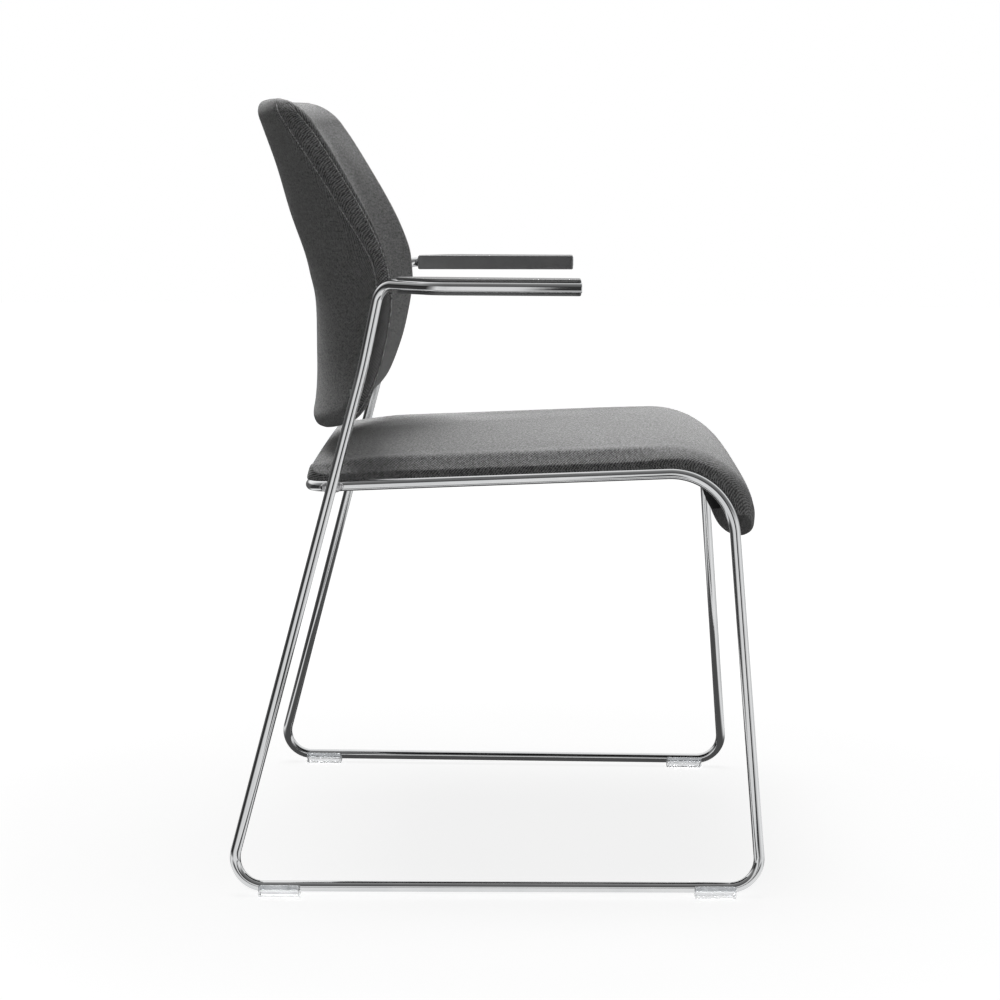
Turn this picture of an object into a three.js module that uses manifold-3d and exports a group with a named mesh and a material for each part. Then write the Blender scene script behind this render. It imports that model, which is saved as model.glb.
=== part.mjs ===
// Sled base visitor chair with arms, upholstered seat and back.
// Millimetres, +Z up. The sitter faces -Y, and X = 0 is the middle of the chair.
import * as THREE from 'three';
import { mergeVertices } from 'three/addons/utils/BufferGeometryUtils.js';
import Module from 'manifold-3d';

// Fits and cuts
const fitGap = 0.3;              // clearance wherever two pieces touch
const cutOverrun = 4;            // how far a cutting body runs past the piece it cuts
const edgeSkin = 1.2;            // least thickness that a cushion keeps at its rim

// Frame rod
const rodDiameter = 11;
const rodSides = 16;
const bendStepDegrees = 11;

// Sled on the floor
const glideSole = 4.6;           // plastic under the rod
const sledRearHalfSpan = 282;    // rod centres, at the rear floor corners
const sledTaper = 10;            // the front corners are nearer the middle by this
const sledRearY = 275.5;
const sledFrontY = -275;
const sledCornerRadius = 30;

// Rear uprights and arms
const uprightLeanShare = 0.261;       // forward run per unit of height, floor to kink
const uprightSplayShare = 0.0896;     // inward run per unit of height, floor to kink
const upperLeanShare = 0.205;         // the same above the kink
const upperSplayShare = 0.062;
const armRise = 207.6;                // arms over the rear cross rod
const kinkDrop = 86;                  // kink under the arms
const kinkRadius = 520;
const armTopRadius = 20;
const armJogOut = 45.8;               // how far the arms stand outside the tops of the uprights
const armJogRun = 57.6;               // length of the jog that takes them there
const armJogRadius = 40;
const armReach = 204.1;               // front end, from the tops of the uprights

// Seat ring
const seatFrontHeight = 437;          // corner where rail and front leg would meet
const seatFrontY = -239;
const frontBendRadius = 66;
const ringTaper = 0.9;                // the ring is narrower at the front by this, each side
const ringRearDrop = 18.6;            // the rear cross rod is lower than the front corner by this
const ringOverhang = 23.6;            // and this far behind the uprights
const ringCornerRadius = 24;
const weldWeb = 1.2;                  // space between upright and rail, filled by the weld
const weldLength = 26;
const weldHeight = 15;
const weldFacets = 10;

// Glides
const glideLength = 43;
const glideWall = 2.4;
const glideGripHeight = 2.6;          // how far the walls rise past the rod centre
const rearGlideInset = 54.5;          // from the sled's rear corner to the middle of the glide
const frontGlideInset = 47.5;
const glideChamfer = 1.6;

// Arm pads
const padThickness = 16.4;
const padFrontWidth = 30.4;           // over all
const padRearWidth = 10.4;
const padRearSetback = 17.6;          // from the tops of the uprights
const padLip = 1.4;                   // how far the pad reaches past the rod centre
const padEdgeRadius = 1.6;
const padEndSetback = 0.8;

// Seat, measured along and square to the top line of the rails
const seatEdgeInset = 3;              // from rod centre to the edge of the fabric
const seatRearOverhang = 5;           // behind the centre of the rear cross rod
const seatCoverThickness = 3;
const seatShellThickness = 6;
const seatShellInset = 20;
const seatShellEndInset = 34;         // at the rear edge and the lip
const shellPocketGap = 1;             // round the shell's rim, in the foam
const seatCrownHeight = 23;           // fabric over the rails at mid width
const seatCrownDrop = 4.5;            // lower at the side crease
const edgePower = 3;                  // how late over the width the padding gets thinner
const seatNoseSwell = 3;              // extra padding over the front bend
const seatSideRoll = 40;              // width of the rounded side
const seatRearRoll = 8;               // the same for the rear edge
const seatRearEdgeShare = 0.45;       // height of the rear edge, of the full height
const seatRearSlope = 90;             // length over which the top then rises
const seatCornerRadius = 30;
const seatLipReach = 33;              // lip below the end of the bend, at mid width
const seatLipRise = 50;               // how much shorter the lip is at the sides
const seatLipPower = 2.2;             // how late over the width it gets shorter
const seatLipRoll = 13;
const seatLipUnderRoll = 30;          // the same for the underside of the lip
const seatLipTipShare = 0.7;          // place of the tip in the thickness of the lip
const seatDish = 17;                  // how far the shell hangs between the rails
const seatDishFlat = 42;              // level rim along each rail, where the brackets sit
const seatDishSlope = 96;
const seatDishRear = 14;
const seatDishRearSlope = 60;

// Seat brackets and screws
const bracketLength = 26;
const bracketReach = 44;
const bracketThickness = 3;
const bracketFrontShare = 0.28;       // places along the rail, from the front corner
const bracketRearShare = 0.827;
const screwDiameter = 5;
const screwHeadDiameter = 10;
const screwHeadHeight = 2.8;
const screwHeadShare = 0.7;           // flat part of the domed head
const screwTipCover = 1.5;            // least of the shell left over a screw's tip
const screwSides = 10;
const screwInsetShare = 0.68;         // place of the screw along the bracket

// Back
const backRise = 40.6;                // bottom edge over the rear cross rod
const backHeight = 354;
const backSideClearance = 5.7;        // between its sides and the tops of the uprights
const backTopTaper = 12;              // narrower at the top by this
const backBottomTaper = 6;
const backBottomBow = 28;             // the bottom edge is higher at the sides by this
const backCornerRadius = 42;
const backWidestShare = 0.45;         // height of the widest place
const backShellThickness = 9;
const backShellInset = 13;
const backFrontFoam = 23;
const backLowEdgeFoam = 4.5;
const backTopEdgeFoam = 10;
const backRearFoam = 20;
const backRearEdgeFoam = 2.5;
const backSideRoll = 15;
const backEndRoll = 22;
// Heights as shares of the back's height, and places as shares of backDepth behind its origin
const backOriginSetback = 19.6;       // from the tops of the uprights
const backDepth = 100;
const splineSteps = 16;
const backHeightShares = [0, 0.13, 0.25, 0.39, 0.47, 0.54, 0.66, 0.80, 0.92, 1];
const backSeamShares = [0.48, 0.32, 0.185, 0.105, 0.115, 0.16, 0.335, 0.615, 0.885, 1.08];
const backMidShares = [0.94, 0.83, 0.755, 0.74, 0.80, 0.875, 1.06, 1.25, 1.43, 1.53];
const backBandShares = [0.10, 0.11, 0.12, 0.12, 0.12, 0.13, 0.19, 0.21, 0.21, 0.12];
const backBellyShares = [0.10, 0.45, 0.85, 1, 0.98, 0.92, 0.72, 0.45, 0.25, 0.15];

// Back lugs and screws
const lugShares = [0.275, 0.754];      // places between the bottom of the back and the arms
const lugWidth = 22;
const lugThickness = 3;
const lugFoot = 7;
const lugReach = 26;

// Values that follow from the sizes above
const rodRadius = rodDiameter / 2;
const floorRodZ = glideSole + rodRadius;
const sledFrontHalfSpan = sledRearHalfSpan - sledTaper;
const ringRearHeight = seatFrontHeight - ringRearDrop;
const armHeight = ringRearHeight + armRise;
const kinkHeight = armHeight - kinkDrop;
const backBottom = ringRearHeight + backRise;
const v3 = (x, y, z) => new THREE.Vector3(x, y, z);

const uprightAt = (height) => {
  const low = Math.min(height, kinkHeight) - floorRodZ;
  const high = Math.max(height - kinkHeight, 0);
  return v3(
    sledRearHalfSpan - uprightSplayShare * low - upperSplayShare * high,
    sledRearY - uprightLeanShare * low - upperLeanShare * high,
    height
  );
};
const uprightTop = uprightAt(armHeight);
const armHalfSpan = uprightTop.x + armJogOut;
const armFrontY = uprightTop.y - armReach;
const padRearY = uprightTop.y - padRearSetback;
const backHalfWidth = uprightTop.x - rodRadius - backSideClearance;
const backOriginY = uprightTop.y - backOriginSetback;
const ringRearY = uprightAt(ringRearHeight).y + ringOverhang;
const ringSlope = (ringRearHeight - seatFrontHeight) / (ringRearY - seatFrontY);
const crossing = uprightAt(seatFrontHeight + ringSlope * (uprightAt(ringRearHeight).y - seatFrontY));
const ringRearHalfSpan = crossing.x - rodDiameter - weldWeb;
const seatFrontHalfSpan = ringRearHalfSpan - ringTaper;

// Finishes
const finish = (color, roughness, metalness, extra = {}) =>
  new THREE.MeshStandardMaterial({ color, roughness, metalness, ...extra });
const chrome = finish(0xd8dadc, 0.08, 1);
const weldMetal = finish(0xb9bbbd, 0.3, 1);
const zincSteel = finish(0x9c9ea0, 0.4, 1);
const fabric = finish(0x5c5d5f, 0.95, 0);
const padPlastic = finish(0x4b4c4e, 0.55, 0);
const blackPlastic = finish(0x1c1c1d, 0.6, 0);
const clearPlastic = finish(0xf2f4f5, 0.12, 0, { transparent: true, opacity: 0.45 });
const plywood = finish(0xb08d62, 0.7, 0);

const chair = new THREE.Group();
const add = (name, geometry, material) => {
  const mesh = new THREE.Mesh(geometry, material);
  mesh.name = name;
  chair.add(mesh);
};

// Solids for joining and cutting
const wasm = await Module();
wasm.setup();

function toSolid(geometry) {
  const bare = geometry.clone();
  bare.deleteAttribute('normal');
  bare.deleteAttribute('uv');
  const merged = mergeVertices(bare, fitGap / 1000);
  return new wasm.Manifold(new wasm.Mesh({
    numProp: 3,
    vertProperties: new Float32Array(merged.attributes.position.array),
    triVerts: new Uint32Array(merged.index.array)
  }));
}

function fromSolid(solid) {
  const mesh = solid.getMesh();
  const geometry = new THREE.BufferGeometry();
  geometry.setAttribute('position', new THREE.BufferAttribute(mesh.vertProperties, 3));
  geometry.setIndex(new THREE.BufferAttribute(mesh.triVerts, 1));
  return geometry;
}

const cut = (geometry, ...tools) =>
  fromSolid(tools.reduce((body, tool) => body.subtract(toSolid(tool)), toSolid(geometry)));

// A bent rod: straight runs between corners, an arc at each corner
function rodStations(corners, radii) {
  const stations = [{ point: corners[0], tangent: corners[1].clone().sub(corners[0]).normalize() }];
  for (let i = 1; i < corners.length - 1; i += 1) {
    const into = corners[i].clone().sub(corners[i - 1]).normalize();
    const out = corners[i + 1].clone().sub(corners[i]).normalize();
    const turn = into.angleTo(out);
    const radius = radii[i - 1];
    const start = corners[i].clone().addScaledVector(into, -radius * Math.tan(turn / 2));
    const inward = out.clone().addScaledVector(into, -out.dot(into)).normalize();
    const steps = Math.max(2, Math.ceil(THREE.MathUtils.radToDeg(turn) / bendStepDegrees));
    for (let k = 0; k <= steps; k += 1) {
      const a = (turn * k) / steps;
      const point = start.clone()
        .addScaledVector(into, radius * Math.sin(a))
        .addScaledVector(inward, radius * (1 - Math.cos(a)));
      const tangent = into.clone().multiplyScalar(Math.cos(a)).addScaledVector(inward, Math.sin(a));
      stations.push({ point, tangent, corner: i, first: k === 0, last: k === steps });
    }
  }
  const end = corners.length - 1;
  const tangent = corners[end].clone().sub(corners[end - 1]).normalize();
  stations.push({ point: corners[end], tangent });
  return stations;
}

class StationCurve extends THREE.Curve {
  constructor(stations) {
    super();
    this.stations = stations;
  }

  at(u) {
    return this.stations[Math.round(u * (this.stations.length - 1))];
  }

  getPointAt(u, target = new THREE.Vector3()) {
    return target.copy(this.at(u).point);
  }

  getTangentAt(u, target = new THREE.Vector3()) {
    return target.copy(this.at(u).tangent);
  }
}

function rod(stations, radius = rodRadius) {
  const section = new THREE.Shape().absarc(0, 0, radius, 0, 2 * Math.PI);
  return new THREE.ExtrudeGeometry(section, {
    curveSegments: rodSides / 2,
    steps: stations.length - 1,
    extrudePath: new StationCurve(stations)
  });
}

// Part of a bent rod between two of its corners, its cut ends set back by the fit gap
function rodBetween(stations, from, to) {
  const start = from ? stations.findIndex((s) => s.corner === from.corner && s[from.edge]) : 0;
  const stop = to ? stations.findIndex((s) => s.corner === to.corner && s[to.edge]) : stations.length - 1;
  const run = stations.slice(start, stop + 1).map((s) => ({ ...s, point: s.point.clone() }));
  if (from && from.trim) run[0].point.addScaledVector(run[0].tangent, fitGap);
  if (to && to.trim) run[run.length - 1].point.addScaledVector(run[run.length - 1].tangent, -fitGap);
  return run;
}

// One side of the frame, from the arm's front end round the sled to the rear of the seat ring
const sideCorners = (side) => [
  v3(armHalfSpan, armFrontY, armHeight),
  v3(armHalfSpan, uprightTop.y - armJogRun, armHeight),
  uprightAt(armHeight),
  uprightAt(kinkHeight),
  uprightAt(floorRodZ),
  v3(sledFrontHalfSpan, sledFrontY, floorRodZ),
  v3(seatFrontHalfSpan, seatFrontY, seatFrontHeight),
  v3(ringRearHalfSpan, ringRearY, ringRearHeight),
  v3(0, ringRearY, ringRearHeight)
].map((p) => p.setX(p.x * side));
const sideRadii = [
  armJogRadius, armTopRadius, kinkRadius, sledCornerRadius, sledCornerRadius,
  frontBendRadius, ringCornerRadius
];
const corner = { jog: 1, armTop: 2, kink: 3, floorRear: 4, floorFront: 5, seatFront: 6, ringRear: 7 };
const before = (name, trim = false) => ({ corner: corner[name], edge: 'first', trim });
const after = (name, trim = false) => ({ corner: corner[name], edge: 'last', trim });

const sides = [{ side: -1, name: 'right' }, { side: 1, name: 'left' }]
  .map((s) => ({ ...s, stations: rodStations(sideCorners(s.side), sideRadii) }));

for (const { name, stations } of sides) {
  const addRod = (part, from, to) => add(`${name}_${part}`, rod(rodBetween(stations, from, to)), chrome);
  addRod('arm_rod', null, after('armTop'));
  addRod('rear_upright', after('armTop', true), before('floorRear', true));
  addRod('floor_rail', before('floorRear'), after('floorFront'));
  addRod('front_leg', after('floorFront', true), after('seatFront'));
  addRod('seat_rail', after('seatFront', true), before('ringRear', true));
}

// The rear cross rod takes both corner bends of the ring
const ringRun = (stations) => rodBetween(stations, before('ringRear'), after('ringRear'));
const crossRun = [
  ...ringRun(sides[0].stations),
  ...ringRun(sides[1].stations).reverse().map((s) => ({ ...s, tangent: s.tangent.clone().negate() }))
];
add('rear_cross_rod', rod(crossRun), chrome);

// Weld between each upright and the seat rail
for (const { side, name, stations } of sides) {
  const bead = new THREE.SphereGeometry(1, weldFacets, weldFacets);
  bead.scale(rodRadius + weldWeb / 2, weldLength / 2, weldHeight / 2);
  bead.translate(side * (crossing.x - rodRadius - weldWeb / 2), crossing.y, crossing.z);
  const grown = (run) => rod(run, rodRadius + fitGap);
  const tools = [
    grown(rodBetween(stations, after('armTop'), before('floorRear'))),
    grown(rodBetween(stations, after('seatFront'), after('ringRear')))
  ];
  add(`${name}_rail_weld`, cut(bead, ...tools), weldMetal);
}

// Clear glides, clipped on the floor rails from below
function glide(side, stations, atY) {
  const half = rodRadius + fitGap + glideWall;
  const top = floorRodZ + glideGripHeight;
  const section = new THREE.Shape([
    [-half + glideChamfer, 0], [half - glideChamfer, 0], [half, glideChamfer],
    [half, top - glideChamfer], [half - glideChamfer, top],
    [-half + glideChamfer, top], [-half, top - glideChamfer], [-half, glideChamfer]
  ].map(([x, y]) => new THREE.Vector2(x, y)));
  const body = new THREE.ExtrudeGeometry(section, { depth: glideLength, bevelEnabled: false });
  body.translate(0, 0, -glideLength / 2);
  body.rotateX(Math.PI / 2);
  const toeIn = (sledRearHalfSpan - sledFrontHalfSpan) / (sledRearY - sledFrontY);
  body.rotateZ(-side * Math.atan(toeIn));
  body.translate(side * (sledFrontHalfSpan + toeIn * (atY - sledFrontY)), atY, 0);
  const floorRail = rodBetween(stations, before('floorRear'), after('floorFront'));
  return cut(body, rod(floorRail, rodRadius + fitGap));
}
for (const { side, name, stations } of sides) {
  add(`${name}_rear_glide`, glide(side, stations, sledRearY - rearGlideInset), clearPlastic);
  add(`${name}_front_glide`, glide(side, stations, sledFrontY + frontGlideInset), clearPlastic);
}

// Arm pads: a flat moulding whose outer edge follows the rod and grips it
function armPad(side, stations) {
  const armRun = rodBetween(stations, null, before('armTop'));
  const outer = armRun.map((s) => {
    const square = v3(-s.tangent.y, s.tangent.x, 0).multiplyScalar(-side * padLip);
    const p = s.point.clone().sub(square);
    return new THREE.Vector2(p.x, p.y);
  });
  outer[0].y += padEndSetback;
  const last = outer[outer.length - 1];
  const previous = outer[outer.length - 2];
  const share = (padRearY - previous.y) / (last.y - previous.y);
  last.set(THREE.MathUtils.lerp(previous.x, last.x, share), padRearY);
  const outline = [
    ...outer,
    new THREE.Vector2(last.x - side * padRearWidth, last.y),
    new THREE.Vector2(outer[0].x - side * padFrontWidth, outer[0].y)
  ];
  const body = new THREE.ExtrudeGeometry(new THREE.Shape(outline), {
    depth: padThickness - 2 * padEdgeRadius,
    bevelSize: padEdgeRadius,
    bevelOffset: -padEdgeRadius,
    bevelThickness: padEdgeRadius,
    bevelSegments: 2
  });
  body.translate(0, 0, armHeight - padThickness / 2 + padEdgeRadius);
  const past = armRun.map((s) => ({ ...s, point: s.point.clone() }));
  past[0].point.addScaledVector(past[0].tangent, -cutOverrun);
  return cut(body, rod(past, rodRadius + fitGap));
}
for (const { side, name, stations } of sides) {
  add(`${name}_arm_pad`, armPad(side, stations), padPlastic);
}

// A closed solid between two grids of points, joined round their rim
function sandwich(columns, rows, lower, upper) {
  const points = [];
  for (const place of [lower, upper]) {
    for (let i = 0; i <= columns; i += 1) {
      for (let j = 0; j <= rows; j += 1) points.push(...place(i, j));
    }
  }
  const layer = (columns + 1) * (rows + 1);
  const id = (i, j, top) => (top ? layer : 0) + i * (rows + 1) + j;
  const index = [];
  const quad = (a, b, c, d) => index.push(a, b, c, a, c, d);
  for (let i = 0; i < columns; i += 1) {
    for (let j = 0; j < rows; j += 1) {
      quad(id(i, j, true), id(i + 1, j, true), id(i + 1, j + 1, true), id(i, j + 1, true));
      quad(id(i, j, false), id(i, j + 1, false), id(i + 1, j + 1, false), id(i + 1, j, false));
    }
    quad(id(i, 0, false), id(i + 1, 0, false), id(i + 1, 0, true), id(i, 0, true));
    quad(id(i, rows, true), id(i + 1, rows, true), id(i + 1, rows, false), id(i, rows, false));
  }
  for (let j = 0; j < rows; j += 1) {
    quad(id(0, j, true), id(0, j + 1, true), id(0, j + 1, false), id(0, j, false));
    quad(id(columns, j, false), id(columns, j + 1, false), id(columns, j + 1, true), id(columns, j, true));
  }
  const geometry = new THREE.BufferGeometry();
  geometry.setAttribute('position', new THREE.Float32BufferAttribute(points, 3));
  geometry.setIndex(index);
  return geometry;
}

const smooth = (t) => THREE.MathUtils.smoothstep(t, 0, 1);
// Quarter-round roll: 0 at an edge, 1 once the roll's length is passed
const roll = (distance, length) => {
  const t = THREE.MathUtils.clamp(1 - distance / length, 0, 1);
  return Math.sqrt(1 - t * t);
};

// Line over the top of the rails: level run, front bend, then down the front legs
const seatLine = (() => {
  const along = v3(0, seatFrontY - ringRearY, seatFrontHeight - ringRearHeight).normalize();
  const down = v3(0, sledFrontY - seatFrontY, floorRodZ - seatFrontHeight).normalize();
  const turn = along.angleTo(down);
  const front = v3(0, seatFrontY, seatFrontHeight);
  const bendStart = front.clone().addScaledVector(along, -frontBendRadius * Math.tan(turn / 2));
  const rear = v3(0, ringRearY + seatRearOverhang, ringRearHeight - ringSlope * -seatRearOverhang);
  const level = bendStart.distanceTo(rear);
  const normal = v3(0, -along.z, along.y).multiplyScalar(-1);
  const centre = bendStart.clone().addScaledVector(normal, -frontBendRadius);
  const radius = frontBendRadius + rodRadius + fitGap;
  const bend = radius * turn;
  const at = (s, height) => {
    const a = THREE.MathUtils.clamp((s - level) / radius, 0, turn);
    const out = normal.clone().multiplyScalar(Math.cos(a)).addScaledVector(along, Math.sin(a));
    const heading = along.clone().multiplyScalar(Math.cos(a)).addScaledVector(normal, -Math.sin(a));
    const extra = s < level ? s - level : Math.max(s - level - bend, 0);
    return centre.clone().addScaledVector(out, radius + height).addScaledVector(heading, extra);
  };
  return { level, bend, at };
})();

const seatHalfWidth = seatFrontHalfSpan - seatEdgeInset;

// Underside of the seat: level along the rails and over the rear cross rod, dished between
const seatBase = (x, s) => {
  const across = smooth((seatHalfWidth - seatDishFlat - Math.abs(x)) / seatDishSlope);
  return -seatDish * across * smooth((s - seatDishRear) / seatDishRearSlope);
};
const seatRearAt = (x, inset, rear) => {
  const past = Math.max(Math.abs(x) - (seatHalfWidth - inset - seatCornerRadius), 0);
  return rear + seatCornerRadius - Math.sqrt(Math.max(seatCornerRadius ** 2 - past ** 2, 0));
};
const seatFrontAt = (x, reach) =>
  seatLine.level + seatLine.bend + reach - seatLipRise * (Math.abs(x) / seatHalfWidth) ** seatLipPower;

// Every layer of a pad shares the stations of its shell, so their faces run parallel. Stations
// are shares of the shell, then shares of the way from its edge to the edge of the layer.
const rimShares = [0.4, 0.7, 0.9, 1];
const seatAcrossShares = [0, 0.27, 0.5, 0.7, 0.87, 1];
const seatAlongShares = [
  0, 0.03, 0.07, 0.12, 0.19, 0.33, 0.48, 0.60, 0.66, 0.70, 0.74, 0.78, 0.82, 0.86, 0.90, 0.93, 0.965, 1
];
const mirrored = (shares) => [...shares.slice(1).reverse().map((v) => -v), ...shares];

function seatLayer({ inset, rear, reach }, low, high, rim = [1]) {
  const shellHalf = seatHalfWidth - seatShellInset;
  const across = [0, ...seatAcrossShares.slice(1).map((v) => v * shellHalf)];
  const wider = inset !== seatShellInset;
  if (wider) across.push(...rim.map((v) => shellHalf + v * (seatShellInset - inset)));
  const columns = mirrored(across).reverse();
  const along = (x) => {
    const start = seatRearAt(x, seatShellInset, seatShellEndInset);
    const end = seatFrontAt(x, shellReach);
    const run = seatAlongShares.map((v) => THREE.MathUtils.lerp(start, end, v));
    if (!wider) return run;
    const back = rim.map((v) => THREE.MathUtils.lerp(start, seatRearAt(x, inset, rear), v)).reverse();
    return [...back, ...run, ...rim.map((v) => THREE.MathUtils.lerp(end, seatFrontAt(x, reach), v))];
  };
  const place = (offset) => (i, j) => {
    const x = columns[i];
    const s = along(x)[j];
    return [x, ...seatLine.at(s, offset(x, s)).toArray().slice(1)];
  };
  return sandwich(columns.length - 1, along(0).length - 1, place(low), place(high));
}
const shellReach = seatLipReach - seatShellEndInset;

const coverTop = (x, s) => seatBase(x, s) + seatCoverThickness;
const shellLow = (x, s) => coverTop(x, s) + fitGap;
const shellTop = (x, s) => shellLow(x, s) + seatShellThickness;

const seatPadTop = (x, s) => {
  const bend = THREE.MathUtils.clamp((s - seatLine.level) / seatLine.bend, 0, 1);
  const full = seatCrownHeight - seatCrownDrop * (Math.abs(x) / seatHalfWidth) ** edgePower
    + seatNoseSwell * Math.sin(Math.PI * bend ** 2);
  const side = roll(seatHalfWidth - Math.abs(x), seatSideRoll);
  const fromRear = s - seatRearAt(x, 0, 0);
  const rear = roll(fromRear, seatRearRoll)
    * THREE.MathUtils.lerp(seatRearEdgeShare, 1, smooth(fromRear / seatRearSlope));
  const floor = shellLow(x, s) + edgeSkin;
  return floor + (full - floor) * side * rear;
};
const toLipTip = (x, s) => seatFrontAt(x, seatLipReach) - s;
const lipTip = (x, s) => THREE.MathUtils.lerp(shellLow(x, s), seatPadTop(x, s), seatLipTipShare);
const cushionLow = (x, s) => THREE.MathUtils.lerp(
  lipTip(x, s) - edgeSkin / 2, shellLow(x, s), roll(toLipTip(x, s), seatLipUnderRoll)
);
const cushionHigh = (x, s) => THREE.MathUtils.lerp(
  lipTip(x, s) + edgeSkin / 2, seatPadTop(x, s), roll(toLipTip(x, s), seatLipRoll)
);

const coverSize = { inset: seatEdgeInset, rear: seatEdgeInset, reach: shellReach + shellPocketGap };
const shellSize = { inset: seatShellInset, rear: seatShellEndInset, reach: shellReach };
const shellSpaceSize = {
  inset: shellSize.inset - shellPocketGap,
  rear: shellSize.rear - shellPocketGap,
  reach: shellSize.reach + shellPocketGap
};
const cushionSize = { inset: 0, rear: 0, reach: seatLipReach };
const seatCoverRaw = seatLayer(coverSize, seatBase, coverTop);
const seatShellRaw = seatLayer(shellSize, shellLow, shellTop);
const seatShellSpace = seatLayer(
  shellSpaceSize, (x, s) => shellLow(x, s) - cutOverrun, (x, s) => shellTop(x, s) + fitGap
);
const seatPad = seatLayer(cushionSize, cushionLow, cushionHigh, rimShares);
add('seat_cushion', cut(seatPad, seatShellSpace), fabric);

// Domed screw along +Z, its head below Z = 0; grow makes the space around it
function screwSolid(length, grow) {
  const head = screwHeadDiameter / 2 + grow;
  const shank = screwDiameter / 2 + grow;
  const under = grow - fitGap;
  const crown = under - screwHeadHeight - 2 * grow;
  const profile = [
    [0, crown], [head * screwHeadShare, crown], [head, (crown + under) / 2], [head, under],
    [shank, under], [shank, length + grow], [0, length + grow]
  ].map(([r, z]) => new THREE.Vector2(r, z));
  return new THREE.LatheGeometry(profile, screwSides).rotateX(Math.PI / 2);
}

// Brackets welded inside the rails, with a screw up through each into the shell
const seatFixings = sides.flatMap(({ side, name }) => [
  { side, name: `front_${name}`, share: bracketFrontShare },
  { side, name: `rear_${name}`, share: bracketRearShare }
]);
const railTilt = Math.atan(ringSlope);
const railFront = v3(seatFrontHalfSpan, seatFrontY, seatFrontHeight);
const railRear = v3(ringRearHalfSpan, ringRearY, ringRearHeight);
const bracketTop = rodRadius;                 // top face of a bracket over the rod centre
const screwInset = rodRadius + bracketReach * screwInsetShare;

function onBracket(geometry, fixing, inset, height) {
  const rail = railFront.clone().lerp(railRear, fixing.share);
  geometry.rotateX(railTilt);
  geometry.translate(fixing.side * (rail.x - inset), rail.y, rail.z);
  geometry.translate(0, -height * Math.sin(railTilt), height * Math.cos(railTilt));
  return geometry;
}
const screwStart = bracketTop - bracketThickness;
const seatScrewLength =
  bracketThickness + seatCoverThickness + 2 * fitGap + seatShellThickness - screwTipCover;
const seatScrew = (fixing, grow) =>
  onBracket(screwSolid(seatScrewLength, grow), fixing, screwInset, screwStart);
const screwHoles = seatFixings.map((fixing) => seatScrew(fixing, fitGap));
add('seat_underside_cover', cut(seatCoverRaw, ...screwHoles), blackPlastic);
add('seat_shell', cut(seatShellRaw, ...screwHoles), plywood);

for (const fixing of seatFixings) {
  const plate = new THREE.BoxGeometry(bracketReach, bracketLength, bracketThickness);
  onBracket(plate, fixing, (rodRadius + bracketReach) / 2, bracketTop - bracketThickness / 2);
  const { stations } = sides.find((s) => s.side === fixing.side);
  const rail = rod(rodBetween(stations, after('seatFront'), before('ringRear')), rodRadius + fitGap);
  add(`seat_bracket_${fixing.name}`, cut(plate, rail, seatScrew(fixing, fitGap)), zincSteel);
  add(`seat_screw_${fixing.name}`, seatScrew(fixing, 0), zincSteel);
}

// Back: four smooth lines over its height give seam, middle, band and belly
const backLine = (shares) => {
  const curve = new THREE.SplineCurve(backHeightShares.map((h, i) => new THREE.Vector2(h, shares[i])));
  const samples = curve.getPoints(backHeightShares.length * splineSteps);
  return (h) => {
    const k = Math.max(1, samples.findIndex((p) => p.x >= h));
    const [a, b] = [samples[k - 1], samples[k]];
    return THREE.MathUtils.lerp(a.y, b.y, (h - a.x) / (b.x - a.x)) * backDepth;
  };
};
const seamLine = backLine(backSeamShares);
const middleLine = backLine(backMidShares);
const bandLine = backLine(backBandShares);
const bellyLine = backLine(backBellyShares);

// Along the back, h runs from 0 at the bottom edge to 1 at the top edge
const toBackEnd = (h) => Math.min(h, 1 - h) * backHeight;
const backEdgeAt = (h, inset) => {
  const taper = h > backWidestShare
    ? backTopTaper * smooth((h - backWidestShare) / (1 - backWidestShare))
    : backBottomTaper * smooth(1 - h / backWidestShare);
  const past = Math.max(backCornerRadius - toBackEnd(h), 0);
  return backHalfWidth - taper - inset - backCornerRadius + Math.sqrt(backCornerRadius ** 2 - past ** 2);
};
const towardsSide = (x) => (x / backHalfWidth) ** 2;
const levelAt = (x, h) => h + (backBottomBow / backHeight) * towardsSide(x) * (1 - h) ** 2;
const thickAt = (x, level) => THREE.MathUtils.lerp(backShellThickness, bandLine(level), towardsSide(x));
const frontAt = (x, level) =>
  backOriginY + THREE.MathUtils.lerp(middleLine(level), seamLine(level), towardsSide(x));

// Front and rear faces of the shell and bands; they close up past the shell's ends
const partFront = (x, h) => frontAt(x, levelAt(x, h));
const partRear = (x, h) =>
  partFront(x, h) + thickAt(x, levelAt(x, h)) * smooth(toBackEnd(h) / backShellInset);
const backEnds = (h) => roll(toBackEnd(h), backEndRoll);
const backSides = (x, h) => roll(backEdgeAt(h, 0) - Math.abs(x), backSideRoll);
const foam = (x, middle, edge) =>
  THREE.MathUtils.lerp(middle, edge, (Math.abs(x) / backHalfWidth) ** edgePower);
const backFrontFace = (x, h) => {
  const edge = THREE.MathUtils.lerp(backLowEdgeFoam, backTopEdgeFoam, smooth(h));
  const depth = foam(x, backFrontFoam, edge) * backEnds(h) * backSides(x, h);
  return partFront(x, h) - fitGap - edgeSkin - depth;
};
const backRearFace = (x, h) => {
  const belly = backRearEdgeFoam + (backRearFoam - backRearEdgeFoam) * bellyLine(h) / backDepth;
  const depth = foam(x, belly, backRearEdgeFoam) * backEnds(h) * backSides(x, h);
  return partRear(x, h) + fitGap + edgeSkin + depth;
};

const backAcrossShares = [0, 0.25, 0.5, 0.7, 0.86, 1];
const backUpShares = [0, 0.045, 0.1, 0.17, 0.25, 0.34, 0.43, 0.52, 0.61, 0.70, 0.79, 0.87, 0.94, 1];

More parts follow.
